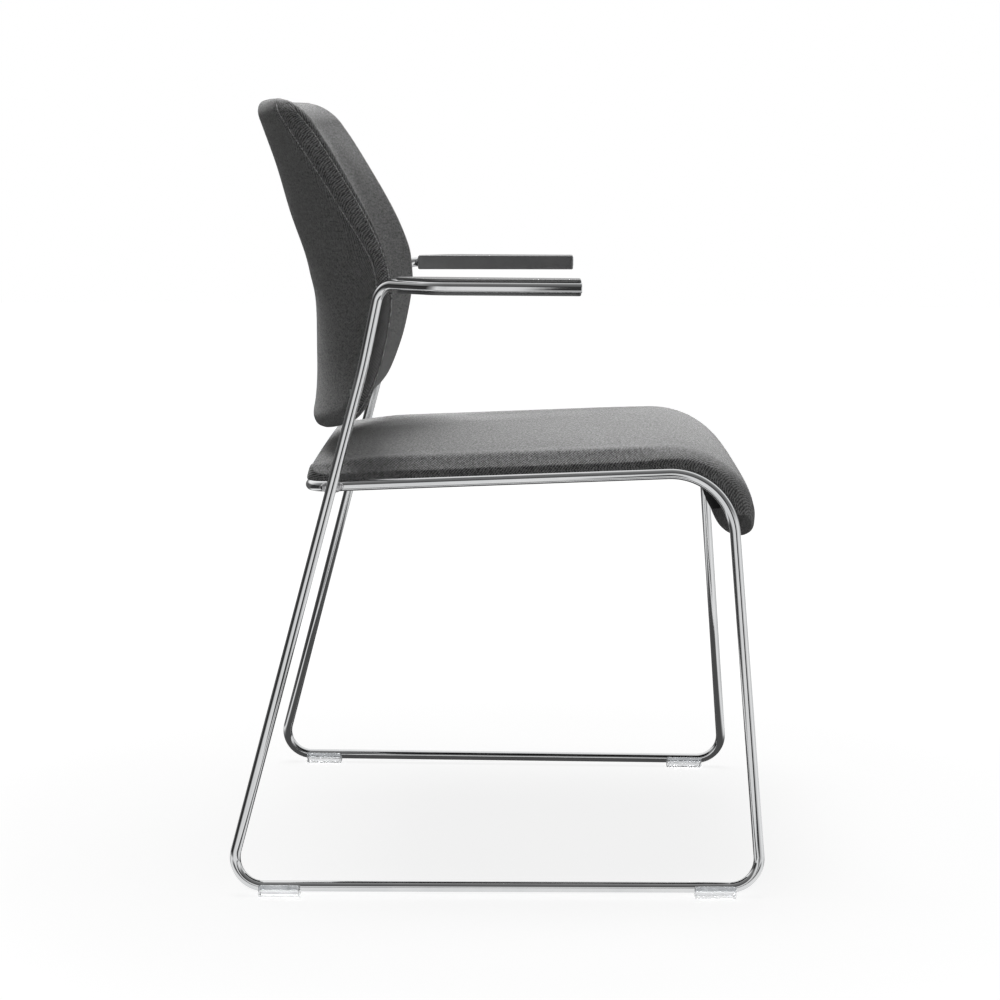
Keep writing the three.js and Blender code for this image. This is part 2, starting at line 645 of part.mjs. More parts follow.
// A strip takes only the rim outside the shell, on the side of that sign
function backLayer(inset, front, rear, rim = [1], strip = 0) {
  const ends = inset === backShellInset || strip ? [] : rim;
  const shellEnd = backShellInset / backHeight;
  const rimHeights = ends.map((v) => THREE.MathUtils.lerp(shellEnd, inset / backHeight, v));
  const heights = [
    ...rimHeights.toReversed(),
    ...backUpShares.map((v) => THREE.MathUtils.lerp(shellEnd, 1 - shellEnd, v)),
    ...rimHeights.map((v) => 1 - v)
  ];
  const across = (h) => {
    const shellEdge = backEdgeAt(h, backShellInset);
    const rimRun = rim.map((v) => THREE.MathUtils.lerp(shellEdge, backEdgeAt(h, inset), v));
    if (strip) {
      const run = [shellEdge + fitGap, ...rimRun].map((x) => x * strip);
      return strip > 0 ? run : run.reverse();
    }
    const run = backAcrossShares.map((v) => v * shellEdge);
    return mirrored(inset === backShellInset ? run : [...run, ...rimRun]);
  };
  const place = (face) => (i, j) => {
    const h = heights[j];
    const x = across(h)[i];
    return [x, face(x, h), backBottom + levelAt(x, h) * backHeight];
  };
  return sandwich(across(0.5).length - 1, heights.length - 1, place(rear), place(front));
}

// Lugs welded to the uprights: a short foot, then a plate let into the rear of the shell
const square = (d) => new THREE.Vector2(-d.y, d.x);
const lugs = sides.flatMap(({ side, name, stations }) => lugShares.map((share, i) => {
  const height = THREE.MathUtils.lerp(backBottom, armHeight, share);
  const level = (height - backBottom) / backHeight;
  const upright = uprightAt(height);
  const rear = (x) => frontAt(x, level) + thickAt(x, level) - lugThickness / 2;
  const kneeX = backEdgeAt(level, backShellInset) - lugFoot;
  const knee = new THREE.Vector2(kneeX, rear(kneeX));
  const slope = new THREE.Vector2(-lugReach, rear(kneeX - lugReach) - knee.y).normalize();
  const tip = knee.clone().addScaledVector(slope, lugReach);
  const place = i === 0 ? 'lower' : 'upper';
  const post = new THREE.Vector2(upright.x, upright.y);
  return { side, stations, name: `${place}_${name}`, post, knee, slope, tip, height };
}));

function lugSolid(lug, grow) {
  const half = lugThickness / 2 + grow;
  const foot = square(lug.knee.clone().sub(lug.post).normalize());
  const plate = square(lug.slope);
  const miter = foot.clone().add(plate).normalize();
  miter.multiplyScalar(half / miter.dot(foot));
  const end = lug.tip.clone().addScaledVector(lug.slope, grow);
  const outline = [
    lug.post.clone().addScaledVector(foot, half), lug.knee.clone().add(miter),
    end.clone().addScaledVector(plate, half), end.clone().addScaledVector(plate, -half),
    lug.knee.clone().sub(miter), lug.post.clone().addScaledVector(foot, -half)
  ].map((p) => new THREE.Vector2(p.x * lug.side, p.y));
  const depth = lugWidth + 2 * grow;
  const body = new THREE.ExtrudeGeometry(new THREE.Shape(outline), { depth, bevelEnabled: false });
  return body.translate(0, 0, lug.height - depth / 2);
}

function backScrew(lug, grow) {
  const at = lug.knee.clone().lerp(lug.tip, 0.5);
  const intoShell = square(lug.slope);
  const start = at.clone().addScaledVector(intoShell, -lugThickness / 2);
  const geometry = screwSolid(backShellThickness - screwTipCover, grow);
  geometry.applyQuaternion(new THREE.Quaternion().setFromUnitVectors(
    v3(0, 0, 1), v3(intoShell.x * lug.side, intoShell.y, 0)
  ));
  return geometry.translate(start.x * lug.side, start.y, lug.height);
}

const lugSpaces = lugs.flatMap((lug) => [lugSolid(lug, fitGap), backScrew(lug, fitGap)]);
add('back_shell', cut(backLayer(backShellInset, partFront, partRear), ...lugSpaces), plywood);
add('back_front_cushion', backLayer(0, backFrontFace, (x, h) => partFront(x, h) - fitGap, rimShares), fabric);
const rearPad = backLayer(0, (x, h) => partRear(x, h) + fitGap, backRearFace, rimShares);
add('back_rear_cushion', cut(rearPad, ...lugSpaces), fabric);
for (const { side, name } of sides) {
  add(`${name}_back_band`, cut(backLayer(0, partFront, partRear, rimShares, side), ...lugSpaces), fabric);
}
for (const lug of lugs) {
  const post = rod(rodBetween(lug.stations, after('armTop'), before('floorRear')), rodRadius + fitGap);
  add(`back_lug_${lug.name}`, cut(lugSolid(lug, 0), post, backScrew(lug, fitGap)), zincSteel);
  add(`back_screw_${lug.name}`, backScrew(lug, 0), zincSteel);
}

// The origin lies under the middle of the chair's box
const box = new THREE.Box3().setFromObject(chair);
chair.position.y = -(box.min.y + box.max.y) / 2;

export default chair;
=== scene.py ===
import math

import bpy
import numpy as np
from mathutils import Matrix, Vector
from mathutils.bvhtree import BVHTree
from mathutils.kdtree import KDTree


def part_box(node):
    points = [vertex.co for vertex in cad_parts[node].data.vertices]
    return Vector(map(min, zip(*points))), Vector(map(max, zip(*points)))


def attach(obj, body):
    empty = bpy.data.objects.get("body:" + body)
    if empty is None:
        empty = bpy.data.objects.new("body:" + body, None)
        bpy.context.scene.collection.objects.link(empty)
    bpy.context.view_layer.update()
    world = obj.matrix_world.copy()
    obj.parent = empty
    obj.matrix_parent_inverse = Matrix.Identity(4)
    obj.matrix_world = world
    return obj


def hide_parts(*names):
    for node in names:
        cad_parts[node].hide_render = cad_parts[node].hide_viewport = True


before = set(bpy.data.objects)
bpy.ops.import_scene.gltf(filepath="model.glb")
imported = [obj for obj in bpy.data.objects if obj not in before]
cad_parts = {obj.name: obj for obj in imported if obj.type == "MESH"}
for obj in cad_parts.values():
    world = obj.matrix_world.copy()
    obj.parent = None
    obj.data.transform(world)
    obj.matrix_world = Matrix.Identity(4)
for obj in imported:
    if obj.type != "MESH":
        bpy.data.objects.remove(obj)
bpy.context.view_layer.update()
scene = bpy.context.scene

# ---------------------------------------------------------------- sizes, in millimetres as in the part
# frame: the rod's radius, its corners (x, y or x, y, z) and how far the uprights lean and splay for each mm
# of height
ROD = 5.5
FLOOR_ROD = 4.6 + ROD
SLED_REAR = (282, 275.5)
SLED_FRONT = (272, -275)
KINK, ARM = 540, 626
LEAN, SPLAY = 0.261, 0.0896
UPPER_LEAN, UPPER_SPLAY = 0.205, 0.062
ARM_HALF, ARM_JOG_Y, ARM_FRONT_Y = 275, 62, -84.5
SEAT_FRONT = (232, -239, 437)
BEND_RADIUS = 66
RING_REAR = (192.5, 418.4)
SIDE_RADII = [40, 20, 520, 30, 30, BEND_RADIUS, 24]
ROD_GAP = 0.3
WELD_GAP, WELD_REACH, WELD_THICK, WELD_HIGH = 1.2, 12, 4.6, 6.4

# arm pads: their ends, thickness, how far their lips pass the rod's middle, the room round the rod, their
# inner edge, front and rear, and the rounding of their edges and ends
PAD_FRONT_Y, PAD_REAR_Y = ARM_FRONT_Y + 0.8, 102
PAD_THICK, PAD_LIP, PAD_FIT = 16.4, 1.4, 0.12
PAD_INNER_FRONT, PAD_INNER_REAR = 246, 231
PAD_EDGE, PAD_END = 1.9, 1.8

# glides: their middles, half length, half width, the room round the rod, how high their sides reach on it
# and the rounding of their edges
GLIDE_PLACES = (("rear", 221), ("front", -227.5))
GLIDE_REACH, GLIDE_HALF, GLIDE_FIT, GLIDE_GRIP, GLIDE_EDGE = 21.5, ROD + 2.7, 0.1, 2.6, 1.3

# seat: half width, rear corners, how far in the side's crease lies and how straight the side is below it,
# how far the lip's middle goes past the bend and rises to both sides, the underside's dip below the rails,
# the board's thickness, where the padding starts above the underside, the padding's top over the rails,
# how much that falls to both sides and how much fuller it is at the front bend
SEAT_HALF, SEAT_CORNER = 229, 30
SEAT_WALL, CREASE = 27, 0.93
LIP_REACH, LIP_RISE = 33, 50
SEAT_DIP, BOARD, PADDING_START, PADDING, SIDE_FALL, BEND_FULLNESS = 18.3, 3, 3.3, 23, 4.5, 3
# how far from the seat's sides and rear the dip starts, and over how much it gets to its depth
DIP_SIDE, DIP_SLOPE, DIP_REAR, DIP_RUN = 42, 96, 14, 60
# the roundings: beyond the crease, of the front bend's sides and of the rear edge, the padding's share of its
# height at the rear edge, over how much it gets full, and its least thickness
DECK_ROUND, BEND_ROUND, REAR_ROUND, REAR_SHARE, REAR_RUN, THINNEST = 60, 60, 8, 0.62, 85, 1.2
# where the crease starts to fade before the front bend, and over how much
FADE_START, FADE_RUN = 60, 110
# the lip's tip: its share of the padding's height, half thickness, and roundings below and above
TIP_SHARE, TIP_HALF, TIP_ROUND_LOW, TIP_ROUND_TOP = 0.7, 0.6, 30, 13
# how far the cover is pulled in under the seat's rim, and where that ends, in from the rim
TUCK, TUCK_FLAT, TUCK_RUN = 4.4, 1.5, 1.7

# back: its ends, half width and corners, how far its lower end curves up to both sides, where its padding
# starts on each face of the shell, and how much its sides taper to the top and the lower end, from its waist
BACK_LOW, BACK_TOP, BACK_HALF, BACK_CORNER = 459, 813, 218, 42
BACK_HIGH = BACK_TOP - BACK_LOW
BACK_CURVE, COVER_GAP = 28, 1.5
TAPER_TOP, TAPER_LOW, WAIST = 12, 6, 0.45
# the padding's depth: in the front's middle, at the front's sides below and above, at the rear's sides, and
# how much deeper the rear's belly is
FRONT_FOAM, FRONT_SIDE_LOW, FRONT_SIDE_TOP, REAR_FOAM, BELLY = 23, 4.5, 10, 2.5, 17.5
# the shell's thickness in the middle, and the roundings of its ends, of the padding's ends and of the
# padding's sides
SHELL, SHELL_ROUND, FOAM_END_ROUND, FOAM_SIDE_ROUND = 9, 17, 24, 15

MM = 0.001
SIDES = ((-1, "right"), (1, "left"))
# from the part's own Y to the frame's, which starts under the middle of the chair's box
SHIFT_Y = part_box("rear_cross_rod")[1].y / MM - (RING_REAR[0] + ROD)


def lerp(a, b, t):
    return a + (b - a) * t


def smooth(t):
    t = np.clip(t, 0, 1)
    return t * t * (3 - 2 * t)


def roll(distance, length, power=2.0):
    """Rounded edge: 0 at an edge, 1 once length is passed."""
    t = np.clip(1 - distance / length, 0, 1)
    return (1 - t ** power) ** (1 / power)


def metres(points):
    return (np.asarray(points, float).reshape(-1, 3) + (0, SHIFT_Y, 0)) * MM


# ---------------------------------------------------------------- mesh helpers
def new_object(name, points, faces, cloth_places=()):
    mesh = bpy.data.meshes.new(name)
    mesh.from_pydata(metres(points).tolist(), [], faces)
    mesh.update()
    mesh.shade_smooth()
    if len(cloth_places):
        layer = mesh.uv_layers.new(name="weave")
        layer.data.foreach_set("uv", (np.concatenate(cloth_places) * MM).astype(np.float32).ravel())
    piece = bpy.data.objects.new(name, mesh)
    scene.collection.objects.link(piece)
    return piece


def finish_piece(piece, material, slot, *nodes):
    piece.data.materials.clear()
    piece.data.materials.append(material)
    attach(piece, "root")
    if nodes:
        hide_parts(*nodes)
    return piece


def baked(piece):
    """Puts the piece's modifiers into its mesh."""
    bpy.context.view_layer.update()
    graph = bpy.context.evaluated_depsgraph_get()
    mesh = bpy.data.meshes.new_from_object(piece.evaluated_get(graph))
    piece.modifiers.clear()
    old, piece.data = piece.data, mesh
    bpy.data.meshes.remove(old)
    mesh.name = piece.name
    mesh.shade_smooth()


def points_of(mesh):
    co = np.empty(len(mesh.vertices) * 3)
    mesh.vertices.foreach_get("co", co)
    return co.reshape(-1, 3)


def normals_of(mesh):
    co = np.empty(len(mesh.vertices) * 3)
    mesh.vertex_normals.foreach_get("vector", co)
    return co.reshape(-1, 3)


def tube_mesh(line, radius, sides=32, rounding=1.0):
    """Points and faces of a round rod along a line, with rounded end edges."""
    line = np.asarray(line, float)
    tangent = np.gradient(line, axis=0)
    tangent[0], tangent[-1] = line[1] - line[0], line[-1] - line[-2]
    tangent /= np.linalg.norm(tangent, axis=1, keepdims=True)
    seed = np.array([0, 0, 1.0]) if abs(tangent[0][2]) < 0.9 else np.array([0, 1.0, 0])
    across = np.cross(tangent[0], seed)
    frames = []
    for t in tangent:
        across = across - t * across.dot(t)
        across /= np.linalg.norm(across)
        frames.append((across, np.cross(t, across)))
    steps = 4
    ends = [(rounding * (1 - math.cos(a)), radius - rounding + rounding * math.sin(a))
            for a in np.linspace(0, math.pi / 2, steps + 1)]
    body = [(0, line[0] + tangent[0] * depth, r) for depth, r in ends]
    for i in range(1, len(line) - 1):
        body.append((i, line[i], radius))
    last = len(line) - 1
    body += [(last, line[last] - tangent[last] * depth, r) for depth, r in reversed(ends)]
    angle = np.linspace(0, 2 * math.pi, sides, endpoint=False)
    points = []
    for i, centre, r in body:
        u, v = frames[i]
        points.append(centre + r * (np.outer(np.cos(angle), u) + np.outer(np.sin(angle), v)))
    points = np.concatenate(points)
    faces = []
    for i in range(len(body) - 1):
        for j in range(sides):
            a, b = i * sides + j, i * sides + (j + 1) % sides
            faces.append((a, b, b + sides, a + sides))
    faces.append(tuple(range(sides - 1, -1, -1)))
    faces.append(tuple(range((len(body) - 1) * sides, len(body) * sides)))
    return points, faces


def loft(sections):
    """Closed solid through rings of points, with flat ends."""
    count = len(sections[0])
    faces = []
    for i in range(len(sections) - 1):
        for j in range(count):
            a, b = i * count + j, i * count + (j + 1) % count
            faces.append((a, b, b + count, a + count))
    faces.append(tuple(range(count - 1, -1, -1)))
    faces.append(tuple(range((len(sections) - 1) * count, len(sections) * count)))
    return np.concatenate(sections), faces


def run_length(grid, axis):
    """Length over the surface along one axis of a grid, from its middle."""
    steps = np.linalg.norm(np.diff(grid, axis=axis), axis=2)
    total = np.insert(np.cumsum(steps, axis=axis), 0, 0, axis=axis)
    return total - np.take(total, [total.shape[axis] // 2], axis=axis)


def upholstery(lower, upper, steps=1, swell=0.0):
    """Closed cover between two grids of points, its side wall in steps and swelling outwards, with the
    cloth's own coordinates for each corner of each face."""
    columns, rows = lower.shape[0] - 1, lower.shape[1] - 1
    width = rows + 1
    layer = (columns + 1) * width
    edge = [(i, 0) for i in range(columns)] + [(columns, j) for j in range(rows)]
    edge += [(i, rows) for i in range(columns, 0, -1)] + [(0, j) for j in range(rows, 0, -1)]
    inner = [(min(max(i, 1), columns - 1), min(max(j, 1), rows - 1)) for i, j in edge]
    low, high = (np.array([grid[k] for k in edge]) for grid in (lower, upper))
    outward = (low + high) / 2 - np.array([(lower[k] + upper[k]) / 2 for k in inner])
    outward /= np.linalg.norm(outward, axis=1, keepdims=True) + 1e-9
    height = np.linalg.norm(high - low, axis=1, keepdims=True)
    walls = [low + (high - low) * t + outward * height * swell * math.sin(math.pi * t)
             for t in np.linspace(0, 1, steps + 1)[1:-1]]
    points = np.concatenate([lower.reshape(-1, 3), upper.reshape(-1, 3), *walls])
    flat = [np.stack([run_length(grid, 0), run_length(grid, 1)], 2) for grid in (lower, upper)]
    rims = [np.array([i * width + j for i, j in edge])]
    rims += [2 * layer + k * len(edge) + np.arange(len(edge)) for k in range(steps - 1)]
    rims.append(rims[0] + layer)
    faces, places = [], []
    for i in range(columns):
        for j in range(rows):
            ring = [(i, j), (i + 1, j), (i + 1, j + 1), (i, j + 1)]
            faces.append([layer + a * width + b for a, b in ring])
            places.append([flat[1][k] for k in ring])
            faces.append([a * width + b for a, b in reversed(ring)])
            places.append([flat[0][k] for k in reversed(ring)])
    around = np.insert(np.cumsum(np.linalg.norm(np.diff(high, axis=0), axis=1)), 0, 0)
    for k in range(len(edge)):
        after = (k + 1) % len(edge)
        end = around[k] + np.linalg.norm(high[after] - high[k])
        for t in range(steps):
            faces.append([rims[t][k], rims[t][after], rims[t + 1][after], rims[t + 1][k]])
            up = [height[k, 0] * t / steps, height[after, 0] * t / steps,
                  height[after, 0] * (t + 1) / steps, height[k, 0] * (t + 1) / steps]
            places.append(list(zip(up, (around[k], end, end, around[k]))))
    return points, [[int(v) for v in face] for face in faces], places


# ---------------------------------------------------------------- materials
def feed(tree, made, inputs):
    """Links or sets the inputs of a node."""
    for key, value in dict(inputs).items():
        if isinstance(value, bpy.types.NodeSocket):
            tree.links.new(value, made.inputs[key])
        else:
            made.inputs[key].default_value = value


def node(tree, kind, inputs=(), **settings):
    made = tree.nodes.new(kind)
    for key, value in settings.items():
        setattr(made, key, value)
    feed(tree, made, inputs)
    return made


def emptied(owner):
    """Node tree of a material or world, with nothing in it."""
    owner.use_nodes = True
    owner.node_tree.nodes.clear()
    return owner.node_tree


def material(name):
    """New material, its node tree, its shader and the object's own coordinates."""
    mat = bpy.data.materials.new(name)
    tree = emptied(mat)
    shader = node(tree, "ShaderNodeBsdfPrincipled")
    node(tree, "ShaderNodeOutputMaterial", {"Surface": shader.outputs[0]})
    return mat, tree, shader, node(tree, "ShaderNodeTexCoord").outputs["Object"]


def maths(tree, operation, a, b=0.0, c=0.0):
    return node(tree, "ShaderNodeMath", {0: a, 1: b, 2: c}, operation=operation).outputs[0]


def ramp(tree, factor, stops):
    made = node(tree, "ShaderNodeValToRGB", {"Fac": factor})
    ramp_stops = made.color_ramp.elements
    while len(ramp_stops) < len(stops):
        ramp_stops.new(0.5)
    for element, (place, colour) in zip(ramp_stops, stops):
        element.position = place
        element.color = (*colour, 1)
    return made.outputs["Color"]


def grey(value, tint=(1, 1, 1)):
    return tuple(value * t for t in tint)


def grey_ramp(tree, factor, stops):
    return ramp(tree, factor, [(place, grey(value)) for place, value in stops])


def bump(tree, height, distance, strength):
    inputs = {"Height": height, "Distance": distance, "Strength": strength}
    return node(tree, "ShaderNodeBump", inputs).outputs["Normal"]


def scaled(tree, place, scale):
    return node(tree, "ShaderNodeMapping", {"Vector": place, "Scale": scale}).outputs["Vector"]


def noise(tree, place, scale, detail=2.0, roughness=0.5, distortion=0.0):
    return node(tree, "ShaderNodeTexNoise", {
        "Vector": place, "Scale": scale, "Detail": detail, "Roughness": roughness, "Distortion": distortion,
    }).outputs["Fac"]


def fabric(name, base, across=0.003, up=0.003):
    """Grey hopsack: rows of raised yarn crossings, slubs along the yarn, hairy fibres, mottling and a little
    sheen. base is its lightness, across and up are the pitches of its crossings."""
    mat, tree, shader, place = material(name)
    cloth = node(tree, "ShaderNodeUVMap", uv_map="weave").outputs["UV"]
    weave = node(tree, "ShaderNodeSeparateXYZ", {"Vector": cloth})
    wander = maths(tree, "MULTIPLY", noise(tree, place, 120, 2), 3.5)
    turns = []
    for axis, pitch in (("X", across), ("Y", up)):
        run = maths(tree, "MULTIPLY_ADD", weave.outputs[axis], 2 * math.pi / pitch, wander)
        turns.append(maths(tree, "COSINE", run))
    crossing_height = maths(tree, "MULTIPLY", *turns)
    slub = noise(tree, scaled(tree, cloth, (170, 360, 1)), 1.0, 2, 0.6)
    streak = noise(tree, scaled(tree, cloth, (45, 330, 1)), 1.0, 1, 0.5)
    fibre = noise(tree, place, 520, 2, 0.65)
    patch = noise(tree, place, 22, 3, 0.6)
    # painted shade: the weave's raised crossings are lighter and the hollows between them darker in colour,
    # on top of their real bump
    tone = maths(tree, "MULTIPLY_ADD", crossing_height, 0.7, 0.5)
    for part, amount in ((slub, 1.1), (streak, 0.3), (fibre, 2.2), (patch, 0.12)):
        tone = maths(tree, "MULTIPLY_ADD", maths(tree, "SUBTRACT", part, 0.5), amount, tone)
    relief = maths(tree, "MULTIPLY_ADD", fibre, 0.6, crossing_height)
    relief = maths(tree, "MULTIPLY_ADD", slub, 0.9, relief)
    feed(tree, shader, {
        "Base Color": grey_ramp(tree, tone, [(0.05, base * 0.3), (0.5, base), (0.95, base * 2.1)]),
        "Normal": bump(tree, relief, 0.0003, 0.8),
        "Roughness": 0.9, "Specular IOR Level": 0.2,
        "Sheen Weight": 0.25, "Sheen Roughness": 0.45, "Sheen Tint": (1, 1, 1, 1),
    })
    return mat


def chrome():
    """Polished plate with faint haze and smudges."""
    mat, tree, shader, place = material("chrome_plate")
    haze = noise(tree, place, 18, 4, 0.6)
    smudge = noise(tree, place, 90, 2)
    rough = maths(tree, "MULTIPLY_ADD", haze, 0.07, 0.02)
    feed(tree, shader, {
        "Base Color": ramp(tree, haze, [(0.3, (0.74, 0.75, 0.76)), (0.7, (0.83, 0.835, 0.84))]),
        "Roughness": maths(tree, "MULTIPLY_ADD", smudge, 0.02, rough),
        "Normal": bump(tree, noise(tree, place, 260, 2), 0.00002, 0.35),
        "Metallic": 1.0,
    })
    return mat


def worn_metal(name, low, high, rough, scale):
    """Satin plate with a fine grain, between two colours."""
    mat, tree, shader, place = material(name)
    grain = noise(tree, place, scale, 4, 0.65)
    feed(tree, shader, {
        "Base Color": ramp(tree, grain, [(0.3, low), (0.7, high)]),
        "Roughness": maths(tree, "MULTIPLY_ADD", grain, 0.2, rough),
        "Normal": bump(tree, grain, 0.0001, 0.4),
        "Metallic": 1.0,
    })
    return mat


def moulded(name, low, high, rough, grain_scale, depth, specular=0.5, coat=0.0):
    """Moulded plastic or felted board with a fine grain, between two colours."""
    mat, tree, shader, place = material(name)
    grain = node(tree, "ShaderNodeTexVoronoi", {"Vector": place, "Scale": grain_scale}).outputs["Distance"]
    patch = noise(tree, place, 30, 4, 0.6)
    feed(tree, shader, {
        "Base Color": ramp(tree, patch, [(0.3, low), (0.7, high)]),
        "Roughness": maths(tree, "MULTIPLY_ADD", patch, 0.12, rough - 0.06),
        "Normal": bump(tree, grain, depth, 0.5),
        "Specular IOR Level": specular, "Coat Weight": coat, "Coat Roughness": 0.12,
    })
    return mat


def clear_plastic():
    mat, tree, shader, place = material("clear_glide_plastic")
    haze = noise(tree, place, 120, 3, 0.6)
    feed(tree, shader, {
        "Base Color": ramp(tree, haze, [(0.3, (0.66, 0.67, 0.68)), (0.7, (0.8, 0.81, 0.82))]),
        "Roughness": maths(tree, "MULTIPLY_ADD", haze, 0.16, 0.04),
        "IOR": 1.46, "Transmission Weight": 1.0,
    })
    return mat


def plywood():
    mat, tree, shader, place = material("beech_plywood")
    grain = noise(tree, scaled(tree, place, (40, 4, 900)), 1.0, 5, 0.6, 0.4)
    feed(tree, shader, {
        "Base Color": ramp(tree, grain, [(0.35, (0.33, 0.19, 0.09)), (0.65, (0.52, 0.35, 0.18))]),
        "Normal": bump(tree, grain, 0.0002, 0.4),
        "Roughness": 0.7,
    })
    return mat


chrome_plate = chrome()
weld_plate = worn_metal("plated_weld", (0.55, 0.55, 0.56), (0.72, 0.72, 0.73), 0.18, 300)
zinc = worn_metal("zinc_plate", (0.42, 0.43, 0.44), (0.62, 0.63, 0.63), 0.3, 140)
cool = (1, 1.01, 1.02)
pad_plastic = moulded("arm_pad_plastic", grey(0.16, cool), grey(0.19, cool), 0.24, 1500, 0.00012, coat=1.0)
cover_board = moulded("underside_cover_felt", grey(0.012), grey(0.02), 0.85, 900, 0.0003, 0.25)
glide_plastic = clear_plastic()
beech = plywood()
seat_fabric = fabric("seat_twill", 0.17)
back_fabric = fabric("back_twill", 0.17)
seam_fabric = fabric("seam_thread", 0.42, 0.0012, 0.004)


# ---------------------------------------------------------------- frame: one bent rod
def upright_at(height):
    """Middle of the left upright at a height: it leans less above its kink."""
    low = min(height, KINK) - FLOOR_ROD
    high = max(height - KINK, 0)
    x = SLED_REAR[0] - SPLAY * low - UPPER_SPLAY * high
    y = SLED_REAR[1] - LEAN * low - UPPER_LEAN * high
    return x, y, height


ring_slope = (RING_REAR[1] - SEAT_FRONT[2]) / (RING_REAR[0] - SEAT_FRONT[1])
crossing = upright_at(SEAT_FRONT[2] + ring_slope * (upright_at(RING_REAR[1])[1] - SEAT_FRONT[1]))
ring_half = crossing[0] - 2 * ROD - WELD_GAP


def filleted(corners, radii, step=3.0):
    """Line through corners, each rounded by an arc of its radius."""
    corners = [np.asarray(c, float) for c in corners]
    line = [corners[0]]
    for k in range(1, len(corners) - 1):
        into = corners[k] - corners[k - 1]
        out = corners[k + 1] - corners[k]
        into /= np.linalg.norm(into)
        out /= np.linalg.norm(out)
        turn = math.acos(np.clip(into.dot(out), -1, 1))
        radius = radii[k - 1]
        start = corners[k] - into * radius * math.tan(turn / 2)
        inward = out - into * out.dot(into)
        inward /= np.linalg.norm(inward)
        count = max(3, math.ceil(math.degrees(turn) / step))
        for a in np.linspace(0, turn, count + 1):
            line.append(start + into * radius * math.sin(a) + inward * radius * (1 - math.cos(a)))
    line.append(corners[-1])
    return np.array(line)


left_line = filleted([
    (ARM_HALF, ARM_FRONT_Y, ARM), (ARM_HALF, ARM_JOG_Y, ARM),
    upright_at(ARM), upright_at(KINK), upright_at(FLOOR_ROD),
    (*SLED_FRONT, FLOOR_ROD), SEAT_FRONT, (ring_half, *RING_REAR), (0, *RING_REAR),
], SIDE_RADII)
right_line = left_line * (-1, 1, 1)
whole = np.concatenate([right_line, left_line[-2::-1]])
frame_rod = new_object("frame_rod", *tube_mesh(whole, ROD, 40))
finish_piece(frame_rod, chrome_plate, "chrome_rod", "rear_cross_rod", *[
    f"{side}_{name}" for _, side in SIDES
    for name in ("arm_rod", "rear_upright", "floor_rail", "front_leg", "seat_rail")
])

# weld beads, between each upright and the seat rail, rippled along their length
angle = np.linspace(0, 2 * math.pi, 28, endpoint=False)
for sign, side in SIDES:
    rings = []
    for t in np.linspace(-0.995, 0.995, 44):
        ripple = 1 + 0.05 * math.sin(t * 34)
        size = math.sqrt(1 - t * t) * ripple
        rings.append(np.stack([
            sign * (crossing[0] - ROD - WELD_GAP / 2) + WELD_THICK * size * np.cos(angle),
            np.full(len(angle), crossing[1] + WELD_REACH * t),
            crossing[2] + ring_slope * WELD_REACH * t + WELD_HIGH * size * np.sin(angle),
        ], 1))
    finish_piece(new_object(f"{side}_weld_bead", *loft(rings)), weld_plate, "weld", f"{side}_rail_weld")


# ---------------------------------------------------------------- rounded mouldings that grip the rod
def pad_section(inner, centre, inset, stretch, steps=5):
    """Section of an arm pad, with a round groove for the rod in its outer edge, drawn in by inset.
    Its offsets are from the rod's centre, and inner is how far its inner edge is from there."""
    top, inner, lip, groove = PAD_THICK / 2 - inset, inner - inset, PAD_LIP - inset, ROD + PAD_FIT
    bottom = -PAD_THICK / 2 + inset
    r = max(PAD_EDGE - inset, 0.2)
    fine = r * 0.6
    corner = [math.pi / 2 * k / steps for k in range(steps + 1)]
    reach = math.acos(np.clip(lip / groove, -1, 1))
    points = [(-inner + r - r * math.sin(a), top - r + r * math.cos(a)) for a in reversed(corner)]
    points += [(lip - fine + fine * math.sin(a), top - fine + fine * math.cos(a)) for a in corner]
    points += [(groove * math.cos(a), groove * math.sin(a))
               for a in np.linspace(reach, 2 * math.pi - reach, 29)]
    points += [(lip - fine + fine * math.cos(a), bottom + fine - fine * math.sin(a)) for a in corner]
    points += [(-inner + r - r * math.cos(a), bottom + r - r * math.sin(a)) for a in reversed(corner)]
    return np.array([(x * (stretch if x > -groove else 1) + centre, z) for x, z in points])


def glide_section(inset):
    """Section of a glide: a flat foot whose two sides grip the rod from below, drawn in by inset."""
    r = max(GLIDE_EDGE - inset, 0.2)
    fine = r * 0.6
    groove, grip = ROD + GLIDE_FIT, GLIDE_GRIP - inset
    outer, bottom = GLIDE_HALF - inset, -FLOOR_ROD + inset
    opening = math.asin(grip / groove)
    points = [(-outer + r - r * math.sin(a), grip - fine + fine * math.cos(a))
              for a in np.linspace(math.pi / 2, 0, 5)]
    points += [(groove * math.cos(a), groove * math.sin(a))
               for a in np.linspace(math.pi - opening, 2 * math.pi + opening, 29)]
    points += [(outer - r + r * math.sin(a), grip - fine + fine * math.cos(a))
               for a in np.linspace(0, math.pi / 2, 5)]
    corner = np.linspace(0, math.pi / 2, 6)
    points += [(outer - r + r * math.cos(a), bottom + r - r * math.sin(a)) for a in corner]
    points += [(-outer + r - r * math.sin(a), bottom + r - r * math.cos(a)) for a in corner]
    return np.array(points)


def end_insets(low, high, rounding, steps=5):
    """Stations from low to high, with how far the section is drawn in at each to round both ends."""
    corner = [math.pi / 2 * k / steps for k in range(steps + 1)]
    ends = [(rounding * (1 - math.cos(a)), rounding * (1 - math.sin(a))) for a in corner]
    middle = [(low + t * (high - low), 0.0) for t in np.linspace(0.03, 0.97, 60)]
    return [(low + d, i) for d, i in ends] + middle + [(high - d, i) for d, i in reversed(ends)]


